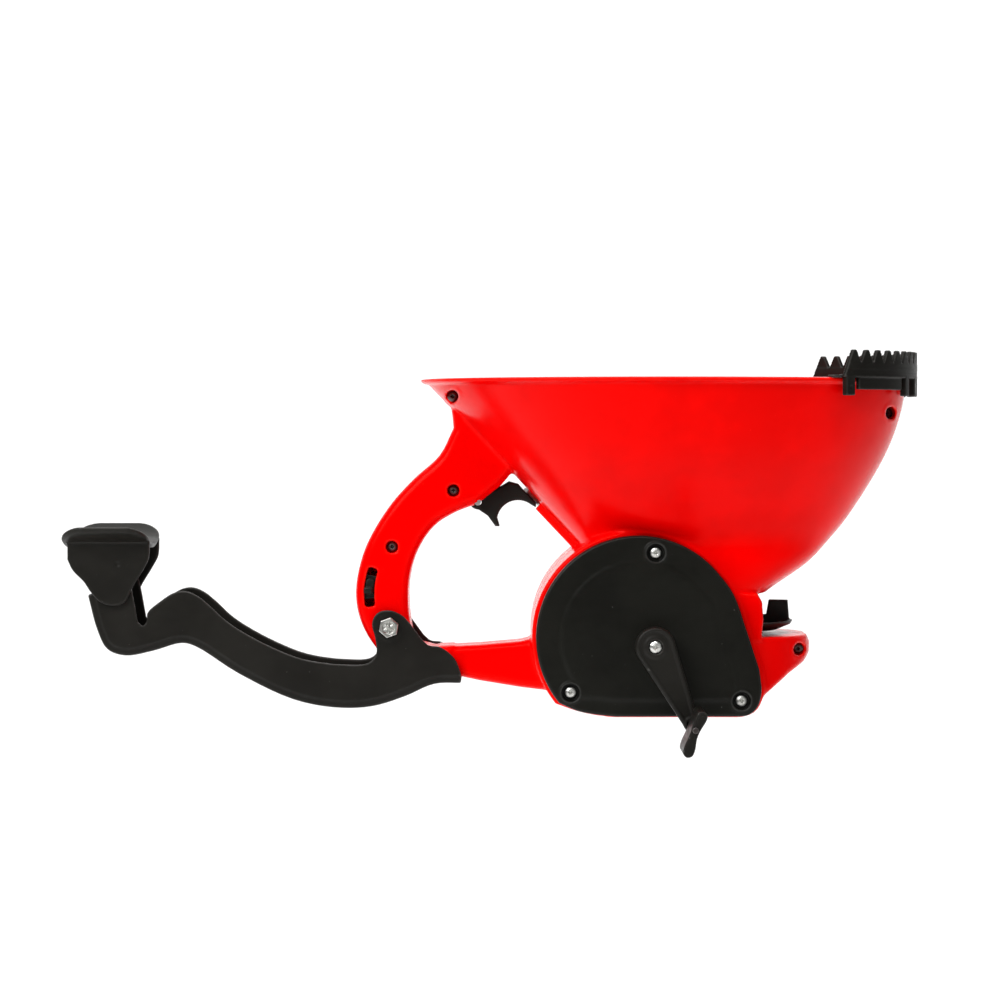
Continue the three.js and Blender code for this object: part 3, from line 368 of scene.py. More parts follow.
DECK_SIDE = [
    (110, BASE_Z), (175, BASE_Z), (187, -64.5), (199.6, -54.3), (208, -49.5), (212, -45.5), (212.5, -40),
    (209.5, DECK_Z), (110, DECK_Z),
]


def deck(x, y, z, inset):
    side = outline(x, z, DECK_SIDE) + inset
    plan = np.hypot(np.maximum(x - DECK_NOSE_X, 0), y) - HALF_WIDTH + inset
    return corner(2.2 if inset == 0 else 0.8, side, plan)


NECK = [
    (150, DECK_Z - 2), (NECK_FRONT_X, DECK_Z - 2), (NECK_FRONT_X + 1, -28),
    (NECK_FRONT_X + 0.5, -19), (NECK_FRONT_X - 2, FLOOR_Z + 1), (150, FLOOR_Z + 1),
]

# ---- handle ----
HANDLE = (
    [(48, 74), (33.6, 74.5)]
    + smooth_line([
        (34.4, 66), (27.5, 52.5), (15, 41), (4, 29), (-5.7, 14.1), (-11, 1.9), (-14.1, -15),
        (-12, -29), (-5, -42), (6, -52.5), (22, -57),
    ], 5)
    + [(34, -57.6), (34, -42.4)]
    + smooth_line([
        (24.6, -42.8), (16, -39.5), (12.8, -29), (12.4, -10), (16.5, 5), (25, 17.5), (35, 24), (46.5, 28.5),
    ], 5)
    + [(58, 37.5), (66, 47)]
)
LOWER_BAR = [
    (28, -57.6), (39, -57.8), (47.5, -59.6), (67.5, -62.9), (88, -65.4), (88, -36), (76, -38),
    (67.5, -40), (47.5, -41.7), (28, -42.7),
]
ROD_NORMAL = np.array([ROD_SLOPE[1], -ROD_SLOPE[0]])


def along_rod(distance, offset=0.0):
    return tuple(ROD_START + ROD_SLOPE * distance + ROD_NORMAL * offset)


def rod_slab(x, y, z, start, end, inner, outer, half, edge=0.5):
    corners = [along_rod(start, inner), along_rod(start, outer), along_rod(end, outer), along_rod(end, inner)]
    return prism(x, y, z, corners, -half, half, edge)


# ---- trigger ----
def quadratic(a, b, c, count):
    return [
        tuple((1 - t) ** 2 * np.array(a) + 2 * t * (1 - t) * np.array(b) + t * t * np.array(c))
        for t in np.linspace(0, 1, count)
    ]


def trigger_outline():
    x, z, r = FINGER
    return (
        quadratic((42.6, 28.6), (43, 25.6), (47, 25.2), 6)
        + [(51.4, 22.2), (55.2, 17), (57.4, 17)]
        + arc(x, z, r, 170, 52, 16)
        + [(75.4, 26.4), (75.6, 28.6), (66.6, 38.1), (62, 39.4)]
        + quadratic((62, 39.4), (54, 34), (46, 33), 6)[1:]
        + [(43.4, 31.4)]
    )


def turned(x, z, at, degrees):
    """Coordinates seen from a piece that has been turned about a point."""
    c, s = math.cos(math.radians(degrees)), math.sin(math.radians(degrees))
    dx, dz = x - at[0], z - at[1]
    return at[0] + dx * c + dz * s, at[1] - dx * s + dz * c


def trigger_sweep(x, y, z):
    shape = trigger_outline()
    passes = [outline(*turned(x, z, TRIGGER, degrees), shape) for degrees in (0, 11, 22)]
    return corner(0.5, union(1, *passes) - 0.5, slab(y, -TRIGGER_HALF - 0.6, TRIGGER_HALF + 0.6))


def trigger(x, y, z):
    body = prism(x, y, z, trigger_outline(), -TRIGGER_HALF, TRIGGER_HALF, 1.2)
    inward = (np.array(TRIGGER) - along_rod(-8)) / np.linalg.norm(np.array(TRIGGER) - along_rod(-8))
    across = np.array([-inward[1], inward[0]]) * 1.6
    ends = [np.array(along_rod(-8)) - inward * 1.7, np.array(along_rod(-8)) + inward * 4.7]
    slot = [
        tuple(ends[0] + across), tuple(ends[1] + across),
        tuple(ends[1] - across), tuple(ends[0] - across),
    ]
    return without(
        0.5, body,
        prism(x, y, z, slot, -4.6, 4.6),
        prism(x, y, z, [(61, 44), (59, 31.2), (80, 20), (82, 30)], -1.8, 1.8),
        pin_y(x, y, z, TRIGGER, 1.8, -20, 20),
    )


# ---- shells ----
def stop_band(x, z, half, start, end):
    """A curved slot about the stop's arc between two angles in degrees."""
    cx, cz, r = STOP_ARC
    angle = np.degrees(np.arctan2(z - cz, x - cx)) % 360
    off = np.radians(np.abs(angle - (start + end) / 2) - (end - start) / 2) * r
    return corner(min(half, 1.5), np.abs(np.hypot(x - cx, z - cz) - r) - half, off)


def shell(x, y, z):
    bowl = hopper(x, y, z)
    outside = overlap(1.2, bowl, z - RIM_Z, FLOOR_Z - z)
    bead = overlap(1.4, bowl - RIM_PROUD, slab(z, RIM_Z - RIM_DEPTH, RIM_Z))
    drum = outline(x, z, drum_outline(DRUM_PROUD))
    drum_outer = corner(1.5, drum, slab(y, -HALF_WIDTH, HALF_WIDTH))
    drum_inner = corner(1, drum + WALL, slab(y, -HALF_WIDTH + WALL, HALF_WIDTH - WALL))
    neck = prism(x, y, z, NECK, -HALF_WIDTH, HALF_WIDTH, 1.6)
    handle = outline(x, z, HANDLE)
    lower = outline(x, z, LOWER_BAR)
    rib = rod_slab(x, y, z, 2, 34, -3, 2.9, 6, 1.5)
    filled = union(
        2.2,
        union(1.0, outside, bead),
        drum_outer,
        deck(x, y, z, 0),
        neck,
        corner(5, handle, slab(y, -GRIP_HALF, GRIP_HALF)),
        corner(4, lower, slab(y, -BAR_HALF, BAR_HALF)),
        rib,
    )
    guard = np.maximum(disc(x, y, (DISC_X, 0), CHAMBER_R + 2), slab(z, DECK_Z - DECK_THICK, FLOOR_Z + 1))
    inner = overlap(4, bowl + WALL, FLOOR_Z + WALL - z)
    low = without(1, np.minimum(drum_inner, deck(x, y, z, WALL)), outside, guard, rib)
    grip_inner = corner(2.5, handle + WALL, slab(y, -GRIP_HALF + WALL, GRIP_HALF - WALL))
    bar_inner = corner(2, lower + WALL, slab(y, -BAR_HALF + WALL, BAR_HALF - WALL))
    grip = without(1, np.minimum(grip_inner, bar_inner), outside, drum_outer, rib)
    posts = [pin_y(x, y, z, at[:2], 4.6 if at[2] < -11 else 3.9, -60, 60) for at in SHELL_SCREWS.values()]
    posts += [
        pin_y(x, y, z, BOLT, 5.5, -GRIP_HALF, GRIP_HALF),
        pin_y(x, y, z, TRIGGER, 3.4, -GRIP_HALF, -TRIGGER_HALF - 0.7),
        pin_y(x, y, z, TRIGGER, 3.4, TRIGGER_HALF + 0.7, GRIP_HALF),
    ]
    posts = np.maximum(union(0.5, *posts), filled)
    guides = np.minimum(
        box(x, y, z, 136, 166, -19, -15, -20, FLOOR_Z + 1),
        box(x, y, z, 136, 166, 15, 19, -20, FLOOR_Z + 1),
    )
    # A hood inside the bowl covers the place where the trigger's tip swings through the rear wall.
    hood = rod_slab(x, y, z, -19, -3, -8, -1.5, TRIGGER_HALF + 3, 2.5)
    body = union(0.8, without(0.8, filled, inner, low, grip), posts, guides, hood)
    chamber = np.minimum(
        disc(x, y, (DISC_X, 0), CHAMBER_R),
        np.maximum(DISC_X - x, np.abs(y) - CHAMBER_R),
    )
    cuts = [
        np.maximum(chamber, slab(z, DECK_Z, FLOOR_Z)),
        box(x, y, z, NECK_FRONT_X + 1.5, 240, -50, 50, DECK_Z, FLOOR_Z - 3),
        np.maximum(outline(x, z, drum_outline(0.3)), y + HALF_WIDTH),
        rod_slab(x, y, z, -16, 60, -1.7, 1.7, 1.7),
        trigger_sweep(x, y, z),
        without(
            0.5,
            prism(x, y, z, [(61, 54), (59, 34), (72, 30), (80, 27.5), (80, 35)], -3, 3),
            inner,
            rod_slab(x, y, z, -40, 60, -8, -2.2, 20),
        ),
        pin_y(x, y, z, TRIGGER, 1.8, -GRIP_HALF + 2.6, GRIP_HALF - 2.6),
        box(x, y, z, 152, 162, -13, 13, FLOOR_Z - 1, FLOOR_Z + 4),
        box(x, y, z, 100, 168, -14.3, 14.3, -18.7, -16.1),
        box(x, y, z, 95, 120, -2, 12, -28, -15.7),
        pin_y(x, y, z, BOLT, 2.8, -30, 30),
        corner(0.6, stop_band(x, z, 2.5, 160, 190), slab(y, -GRIP_HALF - 1, -GRIP_HALF + WALL + 1)),
        pin_y(x, y, z, CRANK, 4.3, -40, -20),
        np.maximum(disc(x, y, (DISC_X, 0), 4.5), slab(z, DECK_Z - DECK_THICK - 1, DECK_Z + 1)),
    ]
    for ax, az, floor in SHELL_SCREWS.values():
        cuts.append(pin_y(x, y, z, (ax, az), 3.1, -90, floor))
        cuts.append(pin_y(x, y, z, (ax, az), 1.6, floor - 1, 12))
    for at in COVER_SCREWS.values():
        cuts.append(pin_y(x, y, z, at, 1.7, -50, -27))
    return without(0.6, body, *cuts)


def shell_right(x, y, z):
    return overlap(0.6, shell(x, y, z), y + SPLIT)


def shell_left(x, y, z):
    return overlap(0.6, shell(x, y, z), SPLIT - y)


# ---- gear cover ----
def gear_cover(x, y, z):
    rim = outline(x, z, drum_outline(0))
    front, back = COVER_Y
    plate = corner(1.3, rim, slab(y, front, back))
    hollow = corner(1, rim + 2, slab(y, front + 2, back + 5))
    plateau = overlap(3.5, outline(x, z, drum_outline(-10.5)), slab(y, front - 0.55, front + 1))
    pockets = [pin_y(x, y, z, at, 4.4, front - 2, -43.2, 0.3) for at in COVER_SCREWS.values()]
    collars = [
        corner(0.5, np.abs(disc(x, z, at, 5.0)) - 0.8, slab(y, front - 0.35, -38))
        for at in COVER_SCREWS.values()
    ]
    posts = [pin_y(x, y, z, at, 5.8, front + 1, back) for at in COVER_SCREWS.values()]
    posts.append(pin_y(x, y, z, CRANK, 7, front - 1.4, front + 2.6, 0.8))
    posts = np.maximum(union(0.4, *posts), outline(x, z, drum_outline(-0.6)))
    body = union(0.6, without(0.6, plate, hollow), posts, plateau, *collars)
    holes = [pin_y(x, y, z, at, 1.7, -50, -30) for at in COVER_SCREWS.values()]
    return without(0.5, body, pin_y(x, y, z, CRANK, 4.3, -60, -30), *pockets, *holes)


# ---- crank ----
def crank_outline(grow=0.0):
    hub, end = 9.6 + grow, 3.6 + grow
    lean = math.degrees(math.acos((hub - end) / CRANK_LENGTH))
    along = math.degrees(CRANK_ANGLE)
    return (
        arc(*CRANK, hub, along + lean, along - lean + 360, 40)
        + arc(*KNOB_AXIS, end, along - lean, along + lean, 20)
    )


def crank_arm(x, y, z):
    front, back = ARM_Y
    profile = outline(x, z, crank_outline())
    blade = corner(1.6, profile, slab(y, front, back))
    hub = disc(x, z, CRANK, 7.4) + (y - COVER_Y[0]) * 0.13
    hub = corner(0.8, hub, slab(y, back - 1, COVER_Y[0] - 1.7))
    dish = corner(0.5, profile + 2.1, slab(y, front - 1, front + 0.35))
    boss = pin_y(x, y, z, CRANK, 5.2, front, front + 2, 0.6)
    eye = pin_y(x, y, z, KNOB_AXIS, 3.5, front, front + 2, 0.5)
    body = union(1.2, without(0.5, blade, dish), hub, boss, eye)
    return without(
        0.4, body,
        pin_y(x, y, z, CRANK, 4.3, -59, -40),
        pin_y(x, y, z, CRANK, 3.3, -70, -60.4),
        pin_y(x, y, z, CRANK, 1.8, -70, -50),
        pin_y(x, y, z, KNOB_AXIS, KNOB_PIN_R + 0.3, -70, -50),
        pin_y(x, y, z, KNOB_AXIS, 2.4, -70, front + 0.7),
    )


def crank_knob(x, y, z):
    """A paddle with a narrow waist that gets fuller at each end."""
    lx, lz = turned(x, z, KNOB_AXIS, -math.degrees(KNOB_LEAN))
    lx, lz = lx - KNOB_AXIS[0], lz - KNOB_AXIS[1]
    shape = smooth_line([
        (0.6, 9.6), (2.6, 8.8), (3.2, 6.8), (2.2, 0.4), (2.1, -3.4), (3.2, -9.2), (2.8, -12.2), (0.6, -13.5),
        (-1.6, -12.2), (-2.2, -9.2), (-1.9, -3.4), (-2.0, 0.4), (-2.1, 6.8), (-1.6, 8.8), (0.6, 9.6),
    ], 5)[:-1]
    body = corner(0.7, outline(lx, lz, shape), slab(y, *KNOB_Y))
    grooves = np.abs(outline(lx, lz, shape) + 1.0) - 0.18
    body = without(0.3, body, np.maximum(grooves, y - KNOB_Y[0] - 0.3))
    return without(0.3, body, pin_y(x, y, z, KNOB_AXIS, KNOB_PIN_R + 0.3, -100, -50))


def knob_pin(x, y, z):
    return union(
        0.3,
        pin_y(x, y, z, KNOB_AXIS, KNOB_PIN_R, KNOB_Y[0] - 0.6, ARM_Y[1] + 0.6),
        pin_y(x, y, z, KNOB_AXIS, 1.45, KNOB_Y[0] - 0.85, KNOB_Y[0] - 0.3, 0.25),
        pin_y(x, y, z, KNOB_AXIS, 2.35, ARM_Y[1] + 0.3, ARM_Y[1] + 1.4, 0.4),
    )


# ---- throwing disc ----
def impeller(x, y, z):
    r = np.hypot(x - DISC_X, y)
    bowl = outline(r, z, [
        (-2, -34.6), (26, -34.2), (32.6, -31.4), (33.5, -29.8), (32, -29.8), (25, -32.2), (9, -32.6),
        (7.4, -31), (5.2, -22), (3, -21.4), (-2, -21.4),
    ]) - 0.15
    blade = [(6, -33.2), (32.3, -30.6), (31.5, -19.9), (22, -19.7), (20.7, -27), (6, -28)]
    blades = []
    for degrees in (0, 90):
        c, s = math.cos(math.radians(degrees)), math.sin(math.radians(degrees))
        out = np.abs((x - DISC_X) * c + y * s)
        blades.append(corner(0.7, outline(out, z, blade), np.abs((x - DISC_X) * s - y * c) - 0.95))
    return without(0.4, union(1.2, bowl, *blades), np.maximum(r - 2.8, slab(z, -40, -22)))


# ---- flow-rate stop ----
def rate_stop(x, y, z):
    back = -GRIP_HALF
    cx, cz, r = STOP_ARC
    angle = math.radians(177.5)
    grip_x, grip_z = cx + r * math.cos(angle), cz + r * math.sin(angle)
    nub = corner(0.9, corner(1.0, slab(x, grip_x - 2.6, grip_x + 1.5), slab(z, grip_z - 1.6, grip_z + 1.6)),
                 slab(y, back - 1.9, back + WALL))
    return union(
        0.6,
        corner(0.4, stop_band(x, z, 4, 166, 184), slab(y, back + WALL + 0.3, back + WALL + 1.8)),
        corner(0.4, stop_band(x, z, 2, 169, 181), slab(y, back + 0.8, back + WALL + 1)),
        nub,
    )


# ---- forearm support ----
SUPPORT_UNDERSIDE = smooth_line([
    (38.2, -60.4), (25, -60.9), (10.5, -67), (-6, -72), (-24, -72.6), (-45, -68.5), (-72.5, -55.4),
    (-93, -42.4), (-100, -40.6), (-114, -44.4), (-128, -46.8), (-137, -43.6), (-142, -34), (-146.6, -16.6),
], 5)
SUPPORT_TOP = smooth_line([
    (-121.8, -29.6), (-119.4, -31.8), (-117.2, -29.6), (-116.8, -25.4), (-110, -19.4), (-104, -15.6),
    (-98.5, -14.6), (-92.5, -16.8), (-86, -22), (-79, -28.6), (-71, -34.2),
    (-56, -42.2), (-40, -48.4), (-20, -51.1), (-8, -50.4),
    (-3.8, -46), (-4.2, -38), (-5.8, -30.4), (-3, -25.4), (3, -24.2), (10, -27.4), (21.6, -41.2),
    (28, -42.4), (35, -48), (38.2, -55.4),
], 4)
SUPPORT = (
    SUPPORT_UNDERSIDE
    + [(-143.2, -15.8)]
    + arc(*REST_PIVOT, 8.4, 180, 0, 14)
    + [(-124.4, -15.2)]
    + SUPPORT_TOP
)


def arm_support(x, y, z):
    """A channel that is open upwards, with round lower edges."""
    above = outline(x, z, SUPPORT_UNDERSIDE + [(-146.6, 40), (60, 40), (60, -60.4)])
    lip = corner(0.5, above + 3.6, slab(y, -SUPPORT_HALF, SUPPORT_HALF))
    keel = corner(1.6, above, slab(y, -SUPPORT_HALF + 0.8, SUPPORT_HALF - 0.8))
    outer = corner(0.5, outline(x, z, SUPPORT), union(0.5, lip, keel))
    inner = corner(4, above + WALL, slab(y, -SUPPORT_HALF + WALL, SUPPORT_HALF - WALL))
    ends = np.minimum(x - 36, 8 - x)
    ribs = [
        np.maximum(slab(x, at - 0.8, at + 0.8), z - top)
        for at, top in ((-121.6, -34), (-104, -28), (-66, -47), (-34, -60))
    ]
    ribs = np.maximum(union(0.5, *ribs), corner(0.7, outline(x, z, SUPPORT) + 1, above + 0.5))
    ribs = np.maximum(ribs, slab(y, -SUPPORT_HALF + 1, SUPPORT_HALF - 1))
    body = union(1.0, without(0.8, outer, inner), np.maximum(ribs, -ends))
    boss = corner(0.5, disc(x, z, BOLT, 6.6), slab(np.abs(y), SUPPORT_HALF - WALL, SUPPORT_HALF + 0.15))
    rivet = corner(0.4, disc(x, z, REST_PIVOT, 5), slab(np.abs(y), SUPPORT_HALF - WALL, SUPPORT_HALF + 0.1))
    body = union(0.6, body, boss, rivet)
    return without(
        0.4, body,
        pin_y(x, y, z, BOLT, 2.8, -30, 30),
        pin_y(x, y, z, REST_PIVOT, 3.3, -30, 30),
    )


FLAP = (
    [(-155.9, 9.4), (-155.9, 1)]
    + smooth_line([
        (-155.9, 1), (-153.4, -4.2), (-148, -9.8), (-144.2, -15.4), (-140, -19.8), (-134, -21.7),
        (-128, -20.2), (-123.8, -12.6), (-119, -4.8), (-116, 0.9), (-115.4, 5),
    ], 5)[1:]
    + [(-115.4, 9.4)]
)


def forearm_rest(x, y, z):
    (x0, x1), half, r, thick = SADDLE["x"], SADDLE["half"], SADDLE["r"], SADDLE["thick"]
    axis_z = SADDLE["bottom"] + r
    round_r = SADDLE["corner"]
    dx = np.abs(x - (x0 + x1) / 2) - (x1 - x0) / 2 + round_r
    dy = np.abs(y) - half + round_r
    plan = np.hypot(np.maximum(dx, 0), np.maximum(dy, 0)) + np.minimum(np.maximum(dx, dy), 0) - round_r
    sheet = np.abs(np.hypot(y, z - axis_z) - r - thick / 2) - thick / 2
    sheet = np.maximum(corner(1.2, sheet, plan), z - 30)
    near, far = REST_FLAP_Y
    flap = corner(0.9, outline(x, z, FLAP), slab(np.abs(y), near, far))
    dimple = np.hypot(np.hypot(x + 131, z + 1.2), np.abs(y) - far - 1.6) - 2.0
    peg = corner(0.4, disc(x, z, REST_PIVOT, 3), slab(np.abs(y), 15.8, 19))
    ribs = corner(0.5, np.minimum(slab(x, -147.3, -145.9), slab(x, -124.3, -122.9)),
                  np.maximum(slab(np.abs(y), 17, near + 0.4), np.maximum(z - 9, 3 - z)))
    return without(0.5, union(1.6, sheet, flap, peg, ribs), dimple)


# ---- lump comb ----
def rim_place(x, y):
    """Degrees from the rim's front, distance outside its outline, and millimetres to a radian there."""
    front = PROFILE[-1, 0]
    rear = REAR_TIP[0] + (REAR_TIP[1] - RIM_Z) * REAR_RUN
    a, b, centre = (front - rear) / 2, PROFILE[-1, 1], (front + rear) / 2
    out = np.zeros_like(x * y)
    for _ in range(5):
        g = np.hypot((x - centre) / (a + out), y / (b + out))
        out = out + (g - 1) * (a + b) / 2
        out = np.clip(out, -30, 30)
    angle = np.arctan2(y / (b + out), (x - centre) / (a + out))
    run = np.hypot(a * np.sin(angle), b * np.cos(angle))
    return np.degrees(angle), out, run


def lump_comb(x, y, z):
    angle, out, run = rim_place(x, y)
    table = np.radians(np.arange(0, 180, 0.5))
    a = (PROFILE[-1, 0] - REAR_TIP[0] - (REAR_TIP[1] - RIM_Z) * REAR_RUN) / 2 + COMB_WALL[1]
    b = PROFILE[-1, 1] + COMB_WALL[1]
    lengths = np.cumsum(np.hypot(a * np.sin(table), b * np.cos(table))) * math.radians(0.5)
    along = np.interp(np.abs(np.radians(angle)), table, lengths)
    inner, outer = COMB_WALL
    clear = RIM_PROUD + 0.3

    def band(limit, about=0.0):
        return np.radians(np.abs(np.abs(angle) - about) - limit) * run

    from_tooth = np.abs(along / COMB_PITCH % 1 - 0.5)
    rise = (z - COMB_VALLEY_Z + 0.5) / (COMB_TIP_Z - COMB_VALLEY_Z + 0.5)
    tooth = (from_tooth - 0.5 + rise * 0.37) * COMB_PITCH * 0.8
    tooth = corner(0.3, tooth, corner(0.4, z - COMB_TIP_Z, slab(out, inner + 0.05, outer - 0.05)))
    tooth = np.maximum(tooth, COMB_VALLEY_Z - 3 - z)
    wall = corner(0.5, slab(out, inner, outer), slab(z, COMB_BASE_Z, COMB_VALLEY_Z))
    lean = (along - COMB_END + np.maximum(z - COMB_BASE_Z - 1, 0) * 0.4) * 0.93
    rack = corner(0.4, union(0.5, wall, tooth), lean)
    foot = corner(0.4, slab(out, -1.4, clear + 0.6), slab(z, COMB_BASE_Z, COMB_BASE_Z + 1))
    foot = corner(0.4, foot, along - COMB_END - 5)
    ledge = corner(0.4, slab(out, 1, outer), slab(z, COMB_BASE_Z, COMB_BASE_Z + 1.2))
    ledge = corner(0.4, ledge, along - COMB_END)
    skirt = corner(0.4, slab(out, clear, outer - 0.7), slab(z, COMB_SKIRT_Z, COMB_BASE_Z + 1))
    skirt = corner(0.5, skirt, band(9.75, 34.45))
    body = union(0.4, rack, foot, ledge, skirt)
    for at in COMB_LUGS:
        lug = corner(0.4, band(1.4, at), slab(out, clear, outer))
        lug = corner(0.4, lug, slab(z, COMB_LUG_Z, COMB_BASE_Z + 1))
        if at == COMB_LUGS[-1]:
            sideways = np.radians(np.abs(angle) - at) * run
            dimple = np.hypot(np.hypot(sideways, z - COMB_LUG_Z - 3.9), (out - outer - 0.2) * 1.4) - 1
            lug = without(0.3, lug, dimple)
        body = union(0.4, body, lug)
    return body


# ---- fasteners ----
def screw_field(at, head_y, head_r, head_h, length, shank_r):
    """A pan head with a cross recess on a threaded shank."""
    def field(x, y, z):
        r = np.hypot(x - at[0], z - at[1])
        dome = np.hypot(r, y - head_y - head_r * 1.7) - head_r * 1.7
        head = corner(0.35, np.maximum(r - head_r, dome), slab(y, head_y - 1, head_y + head_h))
        depth = head_y + head_h * 0.75
        reach = head_r * 0.62 * (depth - y) / head_h
        width = head_r * 0.17
        cross = np.minimum(
            np.maximum(np.abs(x - at[0]) - reach, np.abs(z - at[1]) - width),
            np.maximum(np.abs(z - at[1]) - reach, np.abs(x - at[0]) - width),
        )
        turn = np.arctan2(z - at[1], x - at[0]) / (2 * np.pi)
        thread = np.abs((y / 1.1 + turn) % 1 - 0.5) * 0.5
        neck_y = head_y + head_h
        shank = np.maximum(r - shank_r + thread * 0.8, slab(y, neck_y - 0.3, neck_y + length))
        return np.minimum(without(0.25, head, np.maximum(cross, y - depth)), shank)
    return field


def hexagon(x, z, at, across_corners):
    reach = across_corners / 2 * math.cos(math.pi / 6)
    faces = [0.35 + math.pi / 6 + k * math.pi / 3 for k in range(6)]
    return np.maximum.reduce([
        (x - at[0]) * math.cos(a) + (z - at[1]) * math.sin(a) - reach for a in faces
    ])


def support_bolt(x, y, z):
    head = corner(0.35, hexagon(x, z, BOLT, 10.2), slab(y, -22.2, -SUPPORT_HALF - 0.2))
    chamfer = (disc(x, z, BOLT, 4.9) - (y + 22.2)) * 0.7
    dish = pin_y(x, y, z, BOLT, 3.1, -24, -21.4, 0.4)
    marks = [
        np.maximum(np.abs((x - BOLT[0]) * math.sin(a) - (z - BOLT[1]) * math.cos(a)) - 0.3,
                   np.maximum(disc(x, z, BOLT, 2.6), slab(y, -21.9, -21)))
        for a in (0.5, 2.6, 4.7)
    ]
    turn = np.arctan2(z - BOLT[1], x - BOLT[0]) / (2 * np.pi)
    thread = np.abs((y / 1.0 + turn) % 1 - 0.5) * 0.7 * (y > 8)
    shank = corner(0.3, disc(x, z, BOLT, 2.5) + thread, slab(y, -19, 24))
    return np.minimum(union(0.3, without(0.3, np.maximum(head, chamfer), dish), *marks), shank)


def bolt_washer(x, y, z):
    ring = np.abs(disc(x, z, BOLT, 4.1)) - 1.3
    return corner(0.3, ring, slab(y, SUPPORT_HALF + 0.2, SUPPORT_HALF + 1.2))


def support_nut(x, y, z):
    body = corner(0.4, hexagon(x, z, BOLT, 9.2), slab(y, SUPPORT_HALF + 1.5, SUPPORT_HALF + 5.4))
    cone = (disc(x, z, BOLT, 4.4) + (y - SUPPORT_HALF - 5.4)) * 0.7
    return without(0.3, np.maximum(body, cone), pin_y(x, y, z, BOLT, 2.8, 10, 30))


# ---- materials ----
def new_material(name):
    material = bpy.data.materials.new(name)
    material.use_nodes = True
    return material, material.node_tree.nodes, material.node_tree.links


def add_noise(nodes, links, vector, scale, detail=3.0, stretch=(1, 1, 1)):
    """A noise over the object's own coordinates; scale is per metre."""
    mapping = nodes.new("ShaderNodeMapping")
    mapping.inputs["Scale"].default_value = stretch
    noise = nodes.new("ShaderNodeTexNoise")
    noise.inputs["Scale"].default_value = scale
    noise.inputs["Detail"].default_value = detail
    links.new(vector, mapping.inputs["Vector"])
    links.new(mapping.outputs["Vector"], noise.inputs["Vector"])
    return noise.outputs["Fac"]


def add_range(nodes, links, value, low, high, new_low, new_high):
    node = nodes.new("ShaderNodeMapRange")
    node.interpolation_type = "SMOOTHSTEP"
    for key, number in (("From Min", low), ("From Max", high), ("To Min", new_low), ("To Max", new_high)):
        node.inputs[key].default_value = number
    links.new(value, node.inputs["Value"])
    return node.outputs["Result"]


def add_mix(nodes, links, share, first, second):
    """Mixes two colours; each is an RGB triple or an output."""
    node = nodes.new("ShaderNodeMix")
    node.data_type = "RGBA"
    links.new(share, node.inputs["Factor"])
    for key, colour in (("A", first), ("B", second)):
        socket = [s for s in node.inputs if s.name == key and s.type == "RGBA"][0]
        if isinstance(colour, tuple):
            socket.default_value = (*colour, 1)
        else:
            links.new(colour, socket)
    return [s for s in node.outputs if s.type == "RGBA"][0]


def add_bump(nodes, links, height, distance, strength, normal=None):
    bump = nodes.new("ShaderNodeBump")
    bump.inputs["Distance"].default_value = distance
    bump.inputs["Strength"].default_value = strength
    links.new(height, bump.inputs["Height"])
    if normal is not None:
        links.new(normal, bump.inputs["Normal"])
    return bump.outputs["Normal"]


def moulded(name, deep, light, worn_dust_and_edge_highlight, rough, grain, metallic=0.0, specular=0.5, ripple=0.3, tint=(1, 1, 1)):
    """Moulded plastic or plated metal: broad tone, sharp edges lightened (partly wear, partly a painted
    highlight line), fine grain, faint scuffs and dust.
    """
    material, nodes, links = new_material(name)
    shader = nodes["Principled BSDF"]
    shader.inputs["Metallic"].default_value = metallic
    shader.inputs["Specular IOR Level"].default_value = specular
    shader.inputs["Specular Tint"].default_value = (*tint, 1)
    vector = nodes.new("ShaderNodeTexCoord").outputs["Object"]
    edge = nodes.new("ShaderNodeNewGeometry").outputs["Pointiness"]
    tone = add_range(nodes, links, add_noise(nodes, links, vector, 30, 4), 0.35, 0.65, 0, 1)
    colour = add_mix(nodes, links, tone, deep, light)
    # Sharp edges take the lighter edge colour: partly real wear, partly a painted highlight line along the
    # edges.
    wear_and_edge_highlight = add_range(nodes, links, edge, 0.515, 0.60, 0, 1)
    colour = add_mix(nodes, links, wear_and_edge_highlight, colour, worn_dust_and_edge_highlight)
    scuffs = add_noise(nodes, links, vector, 90, 6, (1, 1, 6))
    dust = add_range(nodes, links, add_noise(nodes, links, vector, 700, 2), 0.76, 0.80, 0, 1)
    colour = add_mix(nodes, links, dust, colour, worn_dust_and_edge_highlight)
    links.new(colour, shader.inputs["Base Color"])
    links.new(add_range(nodes, links, scuffs, 0.3, 0.7, *rough), shader.inputs["Roughness"])
    scale, distance = grain
    soft = add_bump(nodes, links, add_noise(nodes, links, vector, 45, 2), 0.0004, ripple)
    fine = add_bump(nodes, links, add_noise(nodes, links, vector, scale, 2), distance, 0.6, soft)
    links.new(fine, shader.inputs["Normal"])
    return material


